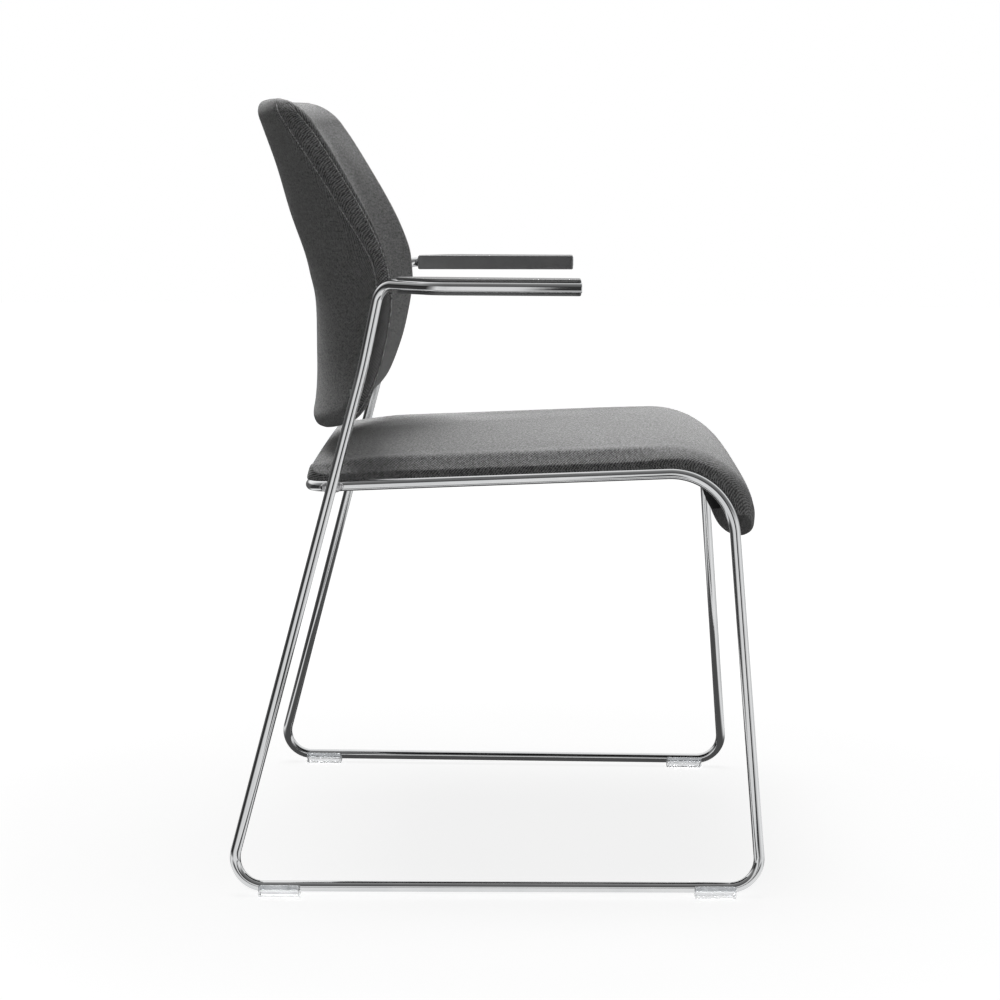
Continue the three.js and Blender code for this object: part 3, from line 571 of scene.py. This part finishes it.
# the rod's own x along each pad, from its line up to the first point beyond the pad
arm_end = int(np.argmax(left_line[:, 1] > PAD_REAR_Y + 12))
arm_y, arm_x = left_line[:arm_end + 1, 1], left_line[:arm_end + 1, 0]
for sign, side in SIDES:
    sections = []
    for y, inset in end_insets(PAD_FRONT_Y, PAD_REAR_Y, PAD_END):
        x = float(np.interp(y, arm_y, arm_x))
        slope = float(np.interp(y + 1, arm_y, arm_x) - np.interp(y - 1, arm_y, arm_x)) / 2
        share = (y - PAD_FRONT_Y) / (PAD_REAR_Y - PAD_FRONT_Y)
        inner = x - lerp(PAD_INNER_FRONT, PAD_INNER_REAR, share)
        section = pad_section(inner, x, inset, math.sqrt(1 + slope * slope))
        sections.append(np.stack([sign * section[:, 0], np.full(len(section), y), ARM + section[:, 1]], 1))
    if sign < 0:
        sections = [s[::-1] for s in sections]
    pad = new_object(f"{side}_arm_pad_shell", *loft(sections))
    finish_piece(pad, pad_plastic, "pad_plastic", f"{side}_arm_pad")

toe = (SLED_REAR[0] - SLED_FRONT[0]) / (SLED_REAR[1] - SLED_FRONT[1])
for sign, side in SIDES:
    for end, middle_y in GLIDE_PLACES:
        sections = []
        for along_rod, inset in end_insets(-GLIDE_REACH, GLIDE_REACH, GLIDE_EDGE):
            section, y = glide_section(inset), middle_y + along_rod
            x = sign * (SLED_FRONT[0] + toe * (y - SLED_FRONT[1]))
            z = FLOOR_ROD + section[:, 1]
            sections.append(np.stack([x + section[:, 0], np.full(len(section), y), z], 1))
        glide = new_object(f"{side}_{end}_clear_glide", *loft(sections))
        finish_piece(glide, glide_plastic, "clear_plastic", f"{side}_{end}_glide")

# ---------------------------------------------------------------- seat
along = np.array([0, SEAT_FRONT[1] - RING_REAR[0], SEAT_FRONT[2] - RING_REAR[1]])
along /= np.linalg.norm(along)
down = np.array([0, SLED_FRONT[1] - SEAT_FRONT[1], FLOOR_ROD - SEAT_FRONT[2]])
down /= np.linalg.norm(down)
seat_turn = math.acos(along.dot(down))
bend_start = np.array([0, SEAT_FRONT[1], SEAT_FRONT[2]]) - along * BEND_RADIUS * math.tan(seat_turn / 2)
seat_normal = np.array([0, along[2], -along[1]])
REAR_REACH = 5
seat_rear = np.array([0, RING_REAR[0] + REAR_REACH, RING_REAR[1] + ring_slope * REAR_REACH])
seat_level = float(np.linalg.norm(bend_start - seat_rear))
bend_centre = bend_start - seat_normal * BEND_RADIUS
line_radius = BEND_RADIUS + ROD + ROD_GAP
seat_bend = line_radius * seat_turn


def seat_place(x, s, height):
    """Point at path length s over the rails, height above the line of their tops. All are arrays."""
    a = np.clip((s - seat_level) / line_radius, 0, seat_turn)[..., None]
    out = seat_normal * np.cos(a) + along * np.sin(a)
    heading = along * np.cos(a) - seat_normal * np.sin(a)
    extra = np.where(s < seat_level, s - seat_level, np.maximum(s - seat_level - seat_bend, 0))[..., None]
    points = bend_centre + out * (line_radius + height[..., None]) + heading * extra
    points[..., 0] = x
    return points


def seat_rear_at(x, inset=0, rear=0):
    """Path place of the seat's rear edge, which has rounded corners."""
    past = np.maximum(np.abs(x) - (SEAT_HALF - inset - SEAT_CORNER), 0)
    return rear + SEAT_CORNER - np.sqrt(np.maximum(SEAT_CORNER ** 2 - past ** 2, 0))


def seat_front_at(x, reach):
    """Path place of the seat's front edge, whose middle reaches furthest down."""
    return seat_level + seat_bend + reach - LIP_RISE * (np.abs(x) / SEAT_HALF) ** 2.2


def seat_base(x, s):
    """Underside of the seat's board: it dips between the rails, away from the rear."""
    across = smooth((SEAT_HALF - DIP_SIDE - np.abs(x)) / DIP_SLOPE)
    return -SEAT_DIP * across * smooth((s - DIP_REAR) / DIP_RUN)


def seat_low(x, s):
    return seat_base(x, s) + PADDING_START


def seat_top(x, s):
    """Top of the seat: creased along the sides of its level part, rounded at its front bend."""
    bend = np.clip((s - seat_level) / seat_bend, 0, 1)
    full = PADDING - SIDE_FALL * (np.abs(x) / SEAT_HALF) ** 3 + BEND_FULLNESS * np.sin(math.pi * bend ** 2)
    inward = SEAT_HALF - np.abs(x)
    wall = np.clip(inward / SEAT_WALL, 0, 1)
    wall = 0.97 * wall + 0.03 * np.sqrt(1 - (1 - wall) ** 2)
    deck = 1 - (1 - np.clip((inward - SEAT_WALL) / DECK_ROUND, 0, 1)) ** 2
    creased = CREASE * wall + (1 - CREASE) * deck
    side = lerp(creased, roll(inward, BEND_ROUND), smooth((s - seat_level + FADE_START) / FADE_RUN))
    from_rear = s - seat_rear_at(x)
    rear = roll(from_rear, REAR_ROUND) * lerp(REAR_SHARE, 1, smooth(from_rear / REAR_RUN))
    floor = seat_low(x, s) + THINNEST
    return floor + (full - floor) * side * rear


def seat_grid(inset, rear, reach, columns, rows):
    """Path places over the seat, closer together towards its edges."""
    u = np.sin(np.linspace(-math.pi / 2, math.pi / 2, columns))
    x = (u * (SEAT_HALF - inset))[:, None] * np.ones(rows)
    v = 0.5 - 0.5 * np.cos(np.linspace(0, math.pi, rows))
    v = 0.6 * v + 0.4 * np.linspace(0, 1, rows)
    start, end = seat_rear_at(x, inset, rear), seat_front_at(x, reach)
    return x[::-1], start[::-1] + (end - start)[::-1] * v


x, s = seat_grid(0, 0, LIP_REACH, 81, 120)
low, top = seat_low(x, s), seat_top(x, s)
to_tip = seat_front_at(x, LIP_REACH) - s
tip = lerp(low, top, TIP_SHARE)
cushion_low = lerp(tip - TIP_HALF, low, roll(to_tip, TIP_ROUND_LOW))
cushion_high = lerp(tip + TIP_HALF, top, roll(to_tip, TIP_ROUND_TOP))
from_rim = np.minimum(SEAT_HALF - np.abs(x), s - seat_rear_at(x))
tuck = TUCK * smooth(1 - (from_rim - TUCK_FLAT) / TUCK_RUN)
seat_pad = new_object("seat_upholstery", *upholstery(
    seat_place(x, s, cushion_low - tuck), seat_place(x, s, cushion_high - tuck * 0.8)))

x, s = seat_grid(3, 3, 0, 61, 100)
low = seat_base(x, s)
cover = new_object("seat_underside_board", *upholstery(seat_place(x, s, low), seat_place(x, s, low + BOARD)))
finish_piece(cover, cover_board, "cover_plastic", "seat_underside_cover")


# ---------------------------------------------------------------- back
def back_line(shares):
    """Smooth line up the back, as a function of the share of its height, from values in hundreds of mm."""
    heights = [0, 0.13, 0.25, 0.39, 0.47, 0.54, 0.66, 0.80, 0.92, 1]
    points = np.array(list(zip(heights, shares)))
    padded = np.concatenate([[points[0]], points, [points[-1]]])
    samples = []
    for i in range(len(points) - 1):
        p0, p1, p2, p3 = padded[i:i + 4]
        for t in np.linspace(0, 1, 16, endpoint=False):
            v0, v1 = (p2 - p0) / 2, (p3 - p1) / 2
            cubic, square = 2 * p1 - 2 * p2 + v0 + v1, -3 * p1 + 3 * p2 - 2 * v0 - v1
            samples.append(cubic * t ** 3 + square * t ** 2 + v0 * t + p1)
    samples.append(points[-1])
    samples = np.array(samples)
    return lambda h: np.interp(h, samples[:, 0], samples[:, 1]) * 100


seam_line = back_line([0.48, 0.32, 0.185, 0.105, 0.115, 0.16, 0.335, 0.615, 0.885, 1.08])
middle_line = back_line([0.94, 0.83, 0.755, 0.74, 0.80, 0.875, 1.06, 1.25, 1.43, 1.53])
band_line = back_line([0.10, 0.11, 0.12, 0.12, 0.12, 0.13, 0.19, 0.21, 0.21, 0.12])
belly_line = back_line([0.10, 0.45, 0.85, 1, 0.98, 0.92, 0.72, 0.45, 0.25, 0.15])


def to_back_end(h):
    """Distance to the nearer end of the back, in mm, at a share h of its height."""
    return np.minimum(h, 1 - h) * BACK_HIGH


def back_edge(h):
    """Half width of the back: it tapers a little to both ends, and has rounded corners."""
    taper = np.where(
        h > WAIST, TAPER_TOP * smooth((h - WAIST) / (1 - WAIST)), TAPER_LOW * smooth(1 - h / WAIST))
    past = np.maximum(BACK_CORNER - to_back_end(h), 0)
    return BACK_HALF - taper - BACK_CORNER + np.sqrt(np.maximum(BACK_CORNER ** 2 - past ** 2, 0))


def to_side(x):
    return (x / BACK_HALF) ** 2


def back_level(x, h):
    """Share of the height at x: the lower end curves up to both sides."""
    return h + BACK_CURVE / BACK_HIGH * to_side(x) * (1 - h) ** 2


def part_front(x, h):
    level = back_level(x, h)
    return 100 + lerp(middle_line(level), seam_line(level), to_side(x))


def part_rear(x, h):
    thick = lerp(SHELL, band_line(back_level(x, h)), to_side(x))
    return part_front(x, h) + thick * roll(to_back_end(h), SHELL_ROUND)


def back_foam(x, h, middle, edge):
    depth = lerp(middle, edge, (np.abs(x) / BACK_HALF) ** 3)
    return depth * roll(to_back_end(h), FOAM_END_ROUND) * roll(back_edge(h) - np.abs(x), FOAM_SIDE_ROUND)


def back_front(x, h):
    edge = lerp(FRONT_SIDE_LOW, FRONT_SIDE_TOP, smooth(h))
    return part_front(x, h) - COVER_GAP - back_foam(x, h, FRONT_FOAM, edge)


def back_rear(x, h):
    belly = REAR_FOAM + BELLY * belly_line(h) / 100
    return part_rear(x, h) + COVER_GAP + back_foam(x, h, belly, REAR_FOAM)


def back_point(x, y, h):
    return np.stack([x, y, BACK_LOW + back_level(x, h) * BACK_HIGH], -1)


h = 0.5 - 0.5 * np.cos(np.linspace(0, math.pi, 110))
h = 0.5 * h + 0.5 * np.linspace(0, 1, 110)
u = np.sin(np.linspace(-math.pi / 2, math.pi / 2, 81))
h = np.ones((len(u), 1)) * h
x = u[:, None] * back_edge(h)
back_pad = new_object("back_upholstery", *upholstery(
    back_point(x, back_rear(x, h), h), back_point(x, back_front(x, h), h), 6, 0.16))


# ---------------------------------------------------------------- padding by cloth simulation
# frames that it runs, rounds that even out its result, and where the seat's sides are held, in mm
LAST_FRAME, EVENING = 20, 14
HELD_FROM, HELD_RUN = 178, 20


def spread(mesh, values, rounds):
    """Evens out per-vertex values over neighbouring vertices."""
    edges = np.empty(len(mesh.edges) * 2, np.int64)
    mesh.edges.foreach_get("vertices", edges)
    edges = edges.reshape(-1, 2)
    count = np.bincount(edges.ravel(), minlength=len(values))[:, None]
    for _ in range(rounds):
        total = np.zeros_like(values)
        np.add.at(total, edges[:, 0], values[edges[:, 1]])
        np.add.at(total, edges[:, 1], values[edges[:, 0]])
        values = (values + total) / (count + 1)
    return values


def tree_of(points):
    tree = KDTree(len(points))
    for i, point in enumerate(points):
        tree.insert(point, i)
    tree.balance()
    return tree


def puff(piece, hold, shrink, cap, voxel=0.005):
    """Inflates a remeshed copy of the pad as cloth, from a start smaller by shrink, and gives the pad its
    swelling, at most cap. hold says how firmly each point is held."""
    fine = points_of(piece.data)
    lift = np.zeros(len(fine))
    copy = piece.copy()
    copy.data = piece.data.copy()
    scene.collection.objects.link(copy)
    remesh = copy.modifiers.new("remesh", "REMESH")
    remesh.mode = "VOXEL"
    remesh.voxel_size = voxel
    baked(copy)
    relax = copy.modifiers.new("relax", "SMOOTH")
    relax.factor, relax.iterations = 0.5, 2
    baked(copy)
    mesh = copy.data
    rest, normal = points_of(mesh), normals_of(mesh)
    held = hold(rest, normal)
    start = rest - normal * (shrink * (1 - held))[:, None]
    mesh.vertices.foreach_set("co", start.ravel())
    mesh.update()
    group = copy.vertex_groups.new(name="hold")
    for i in np.nonzero(held > 0.02)[0]:
        group.add([int(i)], float(held[i]), "REPLACE")
    cloth = copy.modifiers.new("cloth", "CLOTH")
    settings = cloth.settings
    settings.quality = 6
    settings.mass = 0.3
    settings.tension_stiffness = settings.compression_stiffness = 40
    settings.shear_stiffness = 20
    settings.bending_stiffness = 12
    settings.use_pressure = True
    settings.uniform_pressure_force = 4
    settings.vertex_group_mass = "hold"
    settings.effector_weights.gravity = 0
    cloth.collision_settings.use_collision = False
    cloth.point_cache.frame_start, cloth.point_cache.frame_end = 1, LAST_FRAME
    for number in range(1, LAST_FRAME + 1):
        scene.frame_set(number)
    graph = bpy.context.evaluated_depsgraph_get()
    way = points_of(copy.evaluated_get(graph).data) - start
    scene.frame_set(1)
    length = np.linalg.norm(way, axis=1, keepdims=True)
    way *= np.minimum(1, cap / np.maximum(length, 1e-9))
    swelling = spread(mesh, (way * normal).sum(1, keepdims=True), EVENING)[:, 0] - shrink * (1 - held)
    tree = tree_of(rest)
    for i, point in enumerate(fine):
        found = tree.find_n(point, 4)
        weights = np.array([1 / (distance + 1e-4) for _, _, distance in found])
        lift[i] = swelling[[index for _, index, _ in found]].dot(weights) / weights.sum()
    bpy.data.objects.remove(copy)
    bpy.data.meshes.remove(mesh)
    piece.data.vertices.foreach_set("co", (fine + normals_of(piece.data) * lift[:, None]).ravel())
    piece.data.update()
    subdivide = piece.modifiers.new("subdivision", "SUBSURF")
    subdivide.levels = subdivide.render_levels = 1
    baked(piece)


def seat_hold(points, normal):
    """The underside is stapled to the board, and the side walls are drawn down to it: both stay put."""
    under = np.clip((-normal[:, 2] - 0.25) / 0.3, 0, 1)
    return np.maximum(under, smooth((np.abs(points[:, 0]) / MM - HELD_FROM) / HELD_RUN))


puff(seat_pad, seat_hold, 0.0015, 0.004)
finish_piece(seat_pad, seat_fabric, "fabric", "seat_cushion")


def back_hold(points, normal):
    """The side bands and both ends are drawn tight round the shell's rim."""
    share = np.clip((points[:, 2] / MM - BACK_LOW) / BACK_HIGH, 0.001, 0.999)
    sideways = np.clip((np.abs(normal[:, 0]) - 0.8) / 0.15, 0, 1)
    band = sideways * (np.abs(points[:, 0]) > back_edge(share) * MM - 0.006)
    return 0.9 * np.maximum(band, smooth(1 - (to_back_end(share) - 12) / 20))


puff(back_pad, back_hold, 0.0012, 0.0035)
finish_piece(back_pad, back_fabric, "fabric",
             "back_front_cushion", "back_rear_cushion", "right_back_band", "left_back_band")

# sewn seams along both edges of each side band: the cloth is drawn in, and the thread shows in the groove.
# In metres, but the thread's radius in mm
DRAWN_IN, GROOVE, THREAD, THREAD_PROUD = 0.0011, 0.0028, 0.6, 0.0002
seams = {}
for sign, side in SIDES:
    for place, face, gap in (("front", part_front, -COVER_GAP), ("rear", part_rear, COVER_GAP)):
        share = np.linspace(0.012, 0.985, 420)
        edge = sign * back_edge(share)
        seams[f"{side}_{place}_seam"] = metres(back_point(edge, face(edge, share) + gap, share))
mesh = back_pad.data
points, normal = points_of(mesh), normals_of(mesh)
tree = tree_of(np.concatenate(list(seams.values())))
near = np.array([tree.find(point)[2] for point in points])
pull = DRAWN_IN * np.exp(-(near / GROOVE) ** 2)
mesh.vertices.foreach_set("co", (points - normal * pull[:, None]).ravel())
mesh.update()
surface = BVHTree.FromPolygons([v.co for v in mesh.vertices], [p.vertices for p in mesh.polygons])
for name, line in seams.items():
    run = []
    for point in line:
        hit, facing, _, _ = surface.find_nearest(Vector(point))
        run.append(hit + facing * THREAD_PROUD)
    run = np.array(run)
    for _ in range(8):
        run[1:-1] = (run[:-2] + 2 * run[1:-1] + run[2:]) / 4
    seam = new_object(name, *tube_mesh(run / MM - (0, SHIFT_Y, 0), THREAD, 8, 0.4))
    corners = np.empty(len(seam.data.loops), np.int64)
    seam.data.loops.foreach_get("vertex_index", corners)
    spot = points_of(seam.data)[corners]
    places = np.stack([spot[:, 0] + spot[:, 1], spot[:, 2]], 1).astype(np.float32)
    seam.data.uv_layers.new(name="weave").data.foreach_set("uv", places.ravel())
    finish_piece(seam, seam_fabric, "fabric")

# ---------------------------------------------------------------- CAD pieces that stay, with their finishes
for name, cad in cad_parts.items():
    if cad.hide_render:
        continue
    finish = zinc if any(word in name for word in ("bracket", "lug", "screw")) else beech
    cad.data.materials.clear()
    cad.data.materials.append(finish)

# ---------------------------------------------------------------- floor, light and camera
def light_path(tree, *outputs):
    """1 where a ray is any of these."""
    path = node(tree, "ShaderNodeLightPath")
    total = path.outputs[outputs[0]]
    for name in outputs[1:]:
        total = maths(tree, "MAXIMUM", total, path.outputs[name])
    return total


def over(tree, value, low, high, start, end):
    """start where value is low, end where it is high."""
    return node(tree, "ShaderNodeMapRange", {
        "Value": value, "From Min": low, "From Max": high, "To Min": start, "To Max": end,
    }, interpolation_type="SMOOTHSTEP").outputs[0]


def between(tree, value, low, high, soft):
    """1 where value lies between low and high, with soft edges."""
    return maths(tree, "MULTIPLY", over(tree, value, low - soft, low + soft, 0.0, 1.0),
                 over(tree, value, high - soft, high + soft, 1.0, 0.0))


def mixed_value(tree, factor, a, b):
    return node(tree, "ShaderNodeMix", {"Factor": factor, "A": a, "B": b}, data_type="FLOAT").outputs[0]


def mixed_shader(tree, factor, a, b):
    return node(tree, "ShaderNodeMixShader", {0: factor, 1: a, 2: b}).outputs[0]


def matt(tree, value):
    return node(tree, "ShaderNodeBsdfDiffuse", {"Color": (value, value, value, 1)}).outputs[0]


def glow(tree, strength):
    return node(tree, "ShaderNodeEmission", {"Color": (1, 1, 1, 1), "Strength": strength}).outputs[0]


def mirrored_walls(tree, x, y):
    """How bright the studio is in each level direction, as the chrome mirrors it."""
    share = maths(tree, "MULTIPLY_ADD", maths(tree, "ARCTAN2", y, x), 0.5 / math.pi, 0.5)
    return grey_ramp(tree, share, (
        (0.0, 0.85), (0.015, 0.8), (0.028, 0.04), (0.075, 0.04), (0.1, 0.55), (0.19, 0.93), (0.27, 0.74),
        (0.37, 0.55), (0.5, 0.4), (0.56, 0.2), (0.64, 0.1), (0.7, 0.12), (0.75, 0.02), (0.83, 0.02),
        (0.87, 0.3), (0.91, 0.83), (0.97, 0.75), (1.0, 0.85)))


# floor: what the camera sees is white away from the chair, with the chair's shadow on it; the chrome mirrors
# a plain bright floor with a painted shadow, a dark patch under the chair, which goes over into the walls
floor_mat = bpy.data.materials.new("floor")
tree = emptied(floor_mat)
spot = node(tree, "ShaderNodeTexCoord").outputs["Object"]
far = node(tree, "ShaderNodeVectorMath", {0: spot}, operation="LENGTH").outputs["Value"]
level = over(tree, far, 0.5, 1.3, 0.85, 1.0)
seen = node(tree, "ShaderNodeAddShader", {0: matt(tree, 0.45), 1: glow(tree, level)}).outputs[0]
at = node(tree, "ShaderNodeSeparateXYZ", {"Vector": spot})
far_light = maths(tree, "MAXIMUM", mirrored_walls(tree, at.outputs["X"], at.outputs["Y"]), 0.04)
# painted shadow: to glossy rays alone the floor is dark (0.08) under the chair instead of bright (0.85)
painted_shadow_under_chair = maths(tree, "MAXIMUM", between(tree, at.outputs["X"], -0.47, -0.34, 0.02),
                    between(tree, at.outputs["X"], -0.21, 1.5, 0.02))
painted_shadow_under_chair = maths(tree, "MULTIPLY", painted_shadow_under_chair, between(tree, at.outputs["Y"], -0.4, 0.4, 0.08))
near_floor_with_painted_shadow = mixed_value(tree, painted_shadow_under_chair, 0.85, 0.08)
mirrored = mixed_value(tree, over(tree, far, 0.55, 0.85, 0.0, 1.0), near_floor_with_painted_shadow, far_light)
shown = mixed_shader(tree, light_path(tree, "Is Glossy Ray"), matt(tree, 0.3), glow(tree, mirrored))
shown = mixed_shader(tree, light_path(tree, "Is Camera Ray", "Is Transmission Ray"), shown, seen)
node(tree, "ShaderNodeOutputMaterial", {"Surface": shown})
floor_mesh = bpy.data.meshes.new("floor")
floor_mesh.from_pydata([(-9, -9, 0), (9, -9, 0), (9, 9, 0), (-9, 9, 0)], [], [(0, 1, 2, 3)])
floor_mesh.materials.append(floor_mat)
floor = bpy.data.objects.new("floor", floor_mesh)
scene.collection.objects.link(floor)

# world: white to the camera, walls and ceiling to the chrome, and to all else a soft light from low round
# the chair, weaker from beyond it
world = bpy.data.worlds.new("studio")
scene.world = world
tree = emptied(world)
way = node(tree, "ShaderNodeSeparateXYZ", {"Vector": node(tree, "ShaderNodeTexCoord").outputs["Generated"]})
ahead = maths(tree, "MULTIPLY_ADD", way.outputs["X"], 0.5, 0.5)
ceiling = grey_ramp(tree, ahead, (
    (0.0, 0.02), (0.05, 0.05), (0.1, 0.13), (0.3, 0.18), (0.5, 0.32), (0.62, 0.7), (0.78, 1.0), (1.0, 1.0)))
mirrored = mixed_value(tree, over(tree, way.outputs["Z"], 0.15, 0.4, 0.0, 1.0),
                       mirrored_walls(tree, way.outputs["X"], way.outputs["Y"]), ceiling)
soft = maths(tree, "MULTIPLY", over(tree, way.outputs["Z"], 0.1, 0.35, 1.0, 0.05),
             over(tree, way.outputs["X"], -0.1, 0.5, 1.0, 0.3))
lit = mixed_value(tree, light_path(tree, "Is Glossy Ray"), soft, mirrored)
strength = mixed_value(tree, light_path(tree, "Is Camera Ray", "Is Transmission Ray"), lit, 1.0)
background = node(tree, "ShaderNodeBackground", {"Color": (1, 1, 1, 1), "Strength": strength})
node(tree, "ShaderNodeOutputWorld", {"Surface": background.outputs[0]})


def soft_light(name, place, aim, size, power):
    """Area lamp that the chrome doesn't mirror."""
    data = bpy.data.lights.new(name, "AREA")
    data.shape = "RECTANGLE"
    data.size, data.size_y = size
    data.energy = power
    lamp = bpy.data.objects.new(name, data)
    lamp.location = place
    lamp.rotation_euler = (Vector(aim) - Vector(place)).to_track_quat("-Z", "Y").to_euler()
    lamp.visible_glossy = lamp.visible_camera = False
    scene.collection.objects.link(lamp)
    return lamp


def linked(lamps, name, state):
    """Lets lamps light the floor alone (INCLUDE), or all but the floor (EXCLUDE)."""
    group = bpy.data.collections.new(name)
    group.objects.link(floor)
    group.collection_objects[0].light_linking.link_state = state
    for lamp in lamps:
        lamp.light_linking.receiver_collection = group


overhead = soft_light("overhead", (0.15, 0.1, 2.7), (0, 0, 0.45), (1.4, 1.4), 20)
key = soft_light("key", (3.5, 0.6, 2.65), (0, 0, 0.45), (3.0, 1.6), 415)
crown = soft_light("crown", (1.2, 0.6, 2.2), (0, 0.25, 0.7), (0.5, 0.5), 40)
fill = soft_light("fill", (-0.4, -3.4, 1.0), (0, 0, 0.6), (0.8, 0.8), 22)
linked([overhead], "lit_by_the_overhead_lamp", "INCLUDE")
linked([key, crown, fill], "not_lit_by_the_others", "EXCLUDE")

# camera: fitted to the rods in the photograph; its focal length is in pixels of a frame 1000 wide, its angles
# in radians
FOCAL_PX = 2507.27
CAMERA_PLACE = (-2.7764, (-34.63 + SHIFT_Y) * MM, 0.77168)
yaw, pitch, turn = 0.012344, 0.142701, 0.004986
forward = Vector((math.cos(yaw) * math.cos(pitch), math.sin(yaw) * math.cos(pitch), -math.sin(pitch)))
right = forward.cross(Vector((0, 0, 1))).normalized()
up = right.cross(forward)
right, up = math.cos(turn) * right + math.sin(turn) * up, math.cos(turn) * up - math.sin(turn) * right
camera = bpy.data.objects.new("camera", bpy.data.cameras.new("camera"))
camera.data.sensor_width = 36
camera.data.lens = 36 * FOCAL_PX / 1000
camera.matrix_world = Matrix((
    (right.x, up.x, -forward.x, CAMERA_PLACE[0]), (right.y, up.y, -forward.y, CAMERA_PLACE[1]),
    (right.z, up.z, -forward.z, CAMERA_PLACE[2]), (0, 0, 0, 1)))
scene.collection.objects.link(camera)
scene.camera = camera
scene.view_settings.view_transform = "Standard"
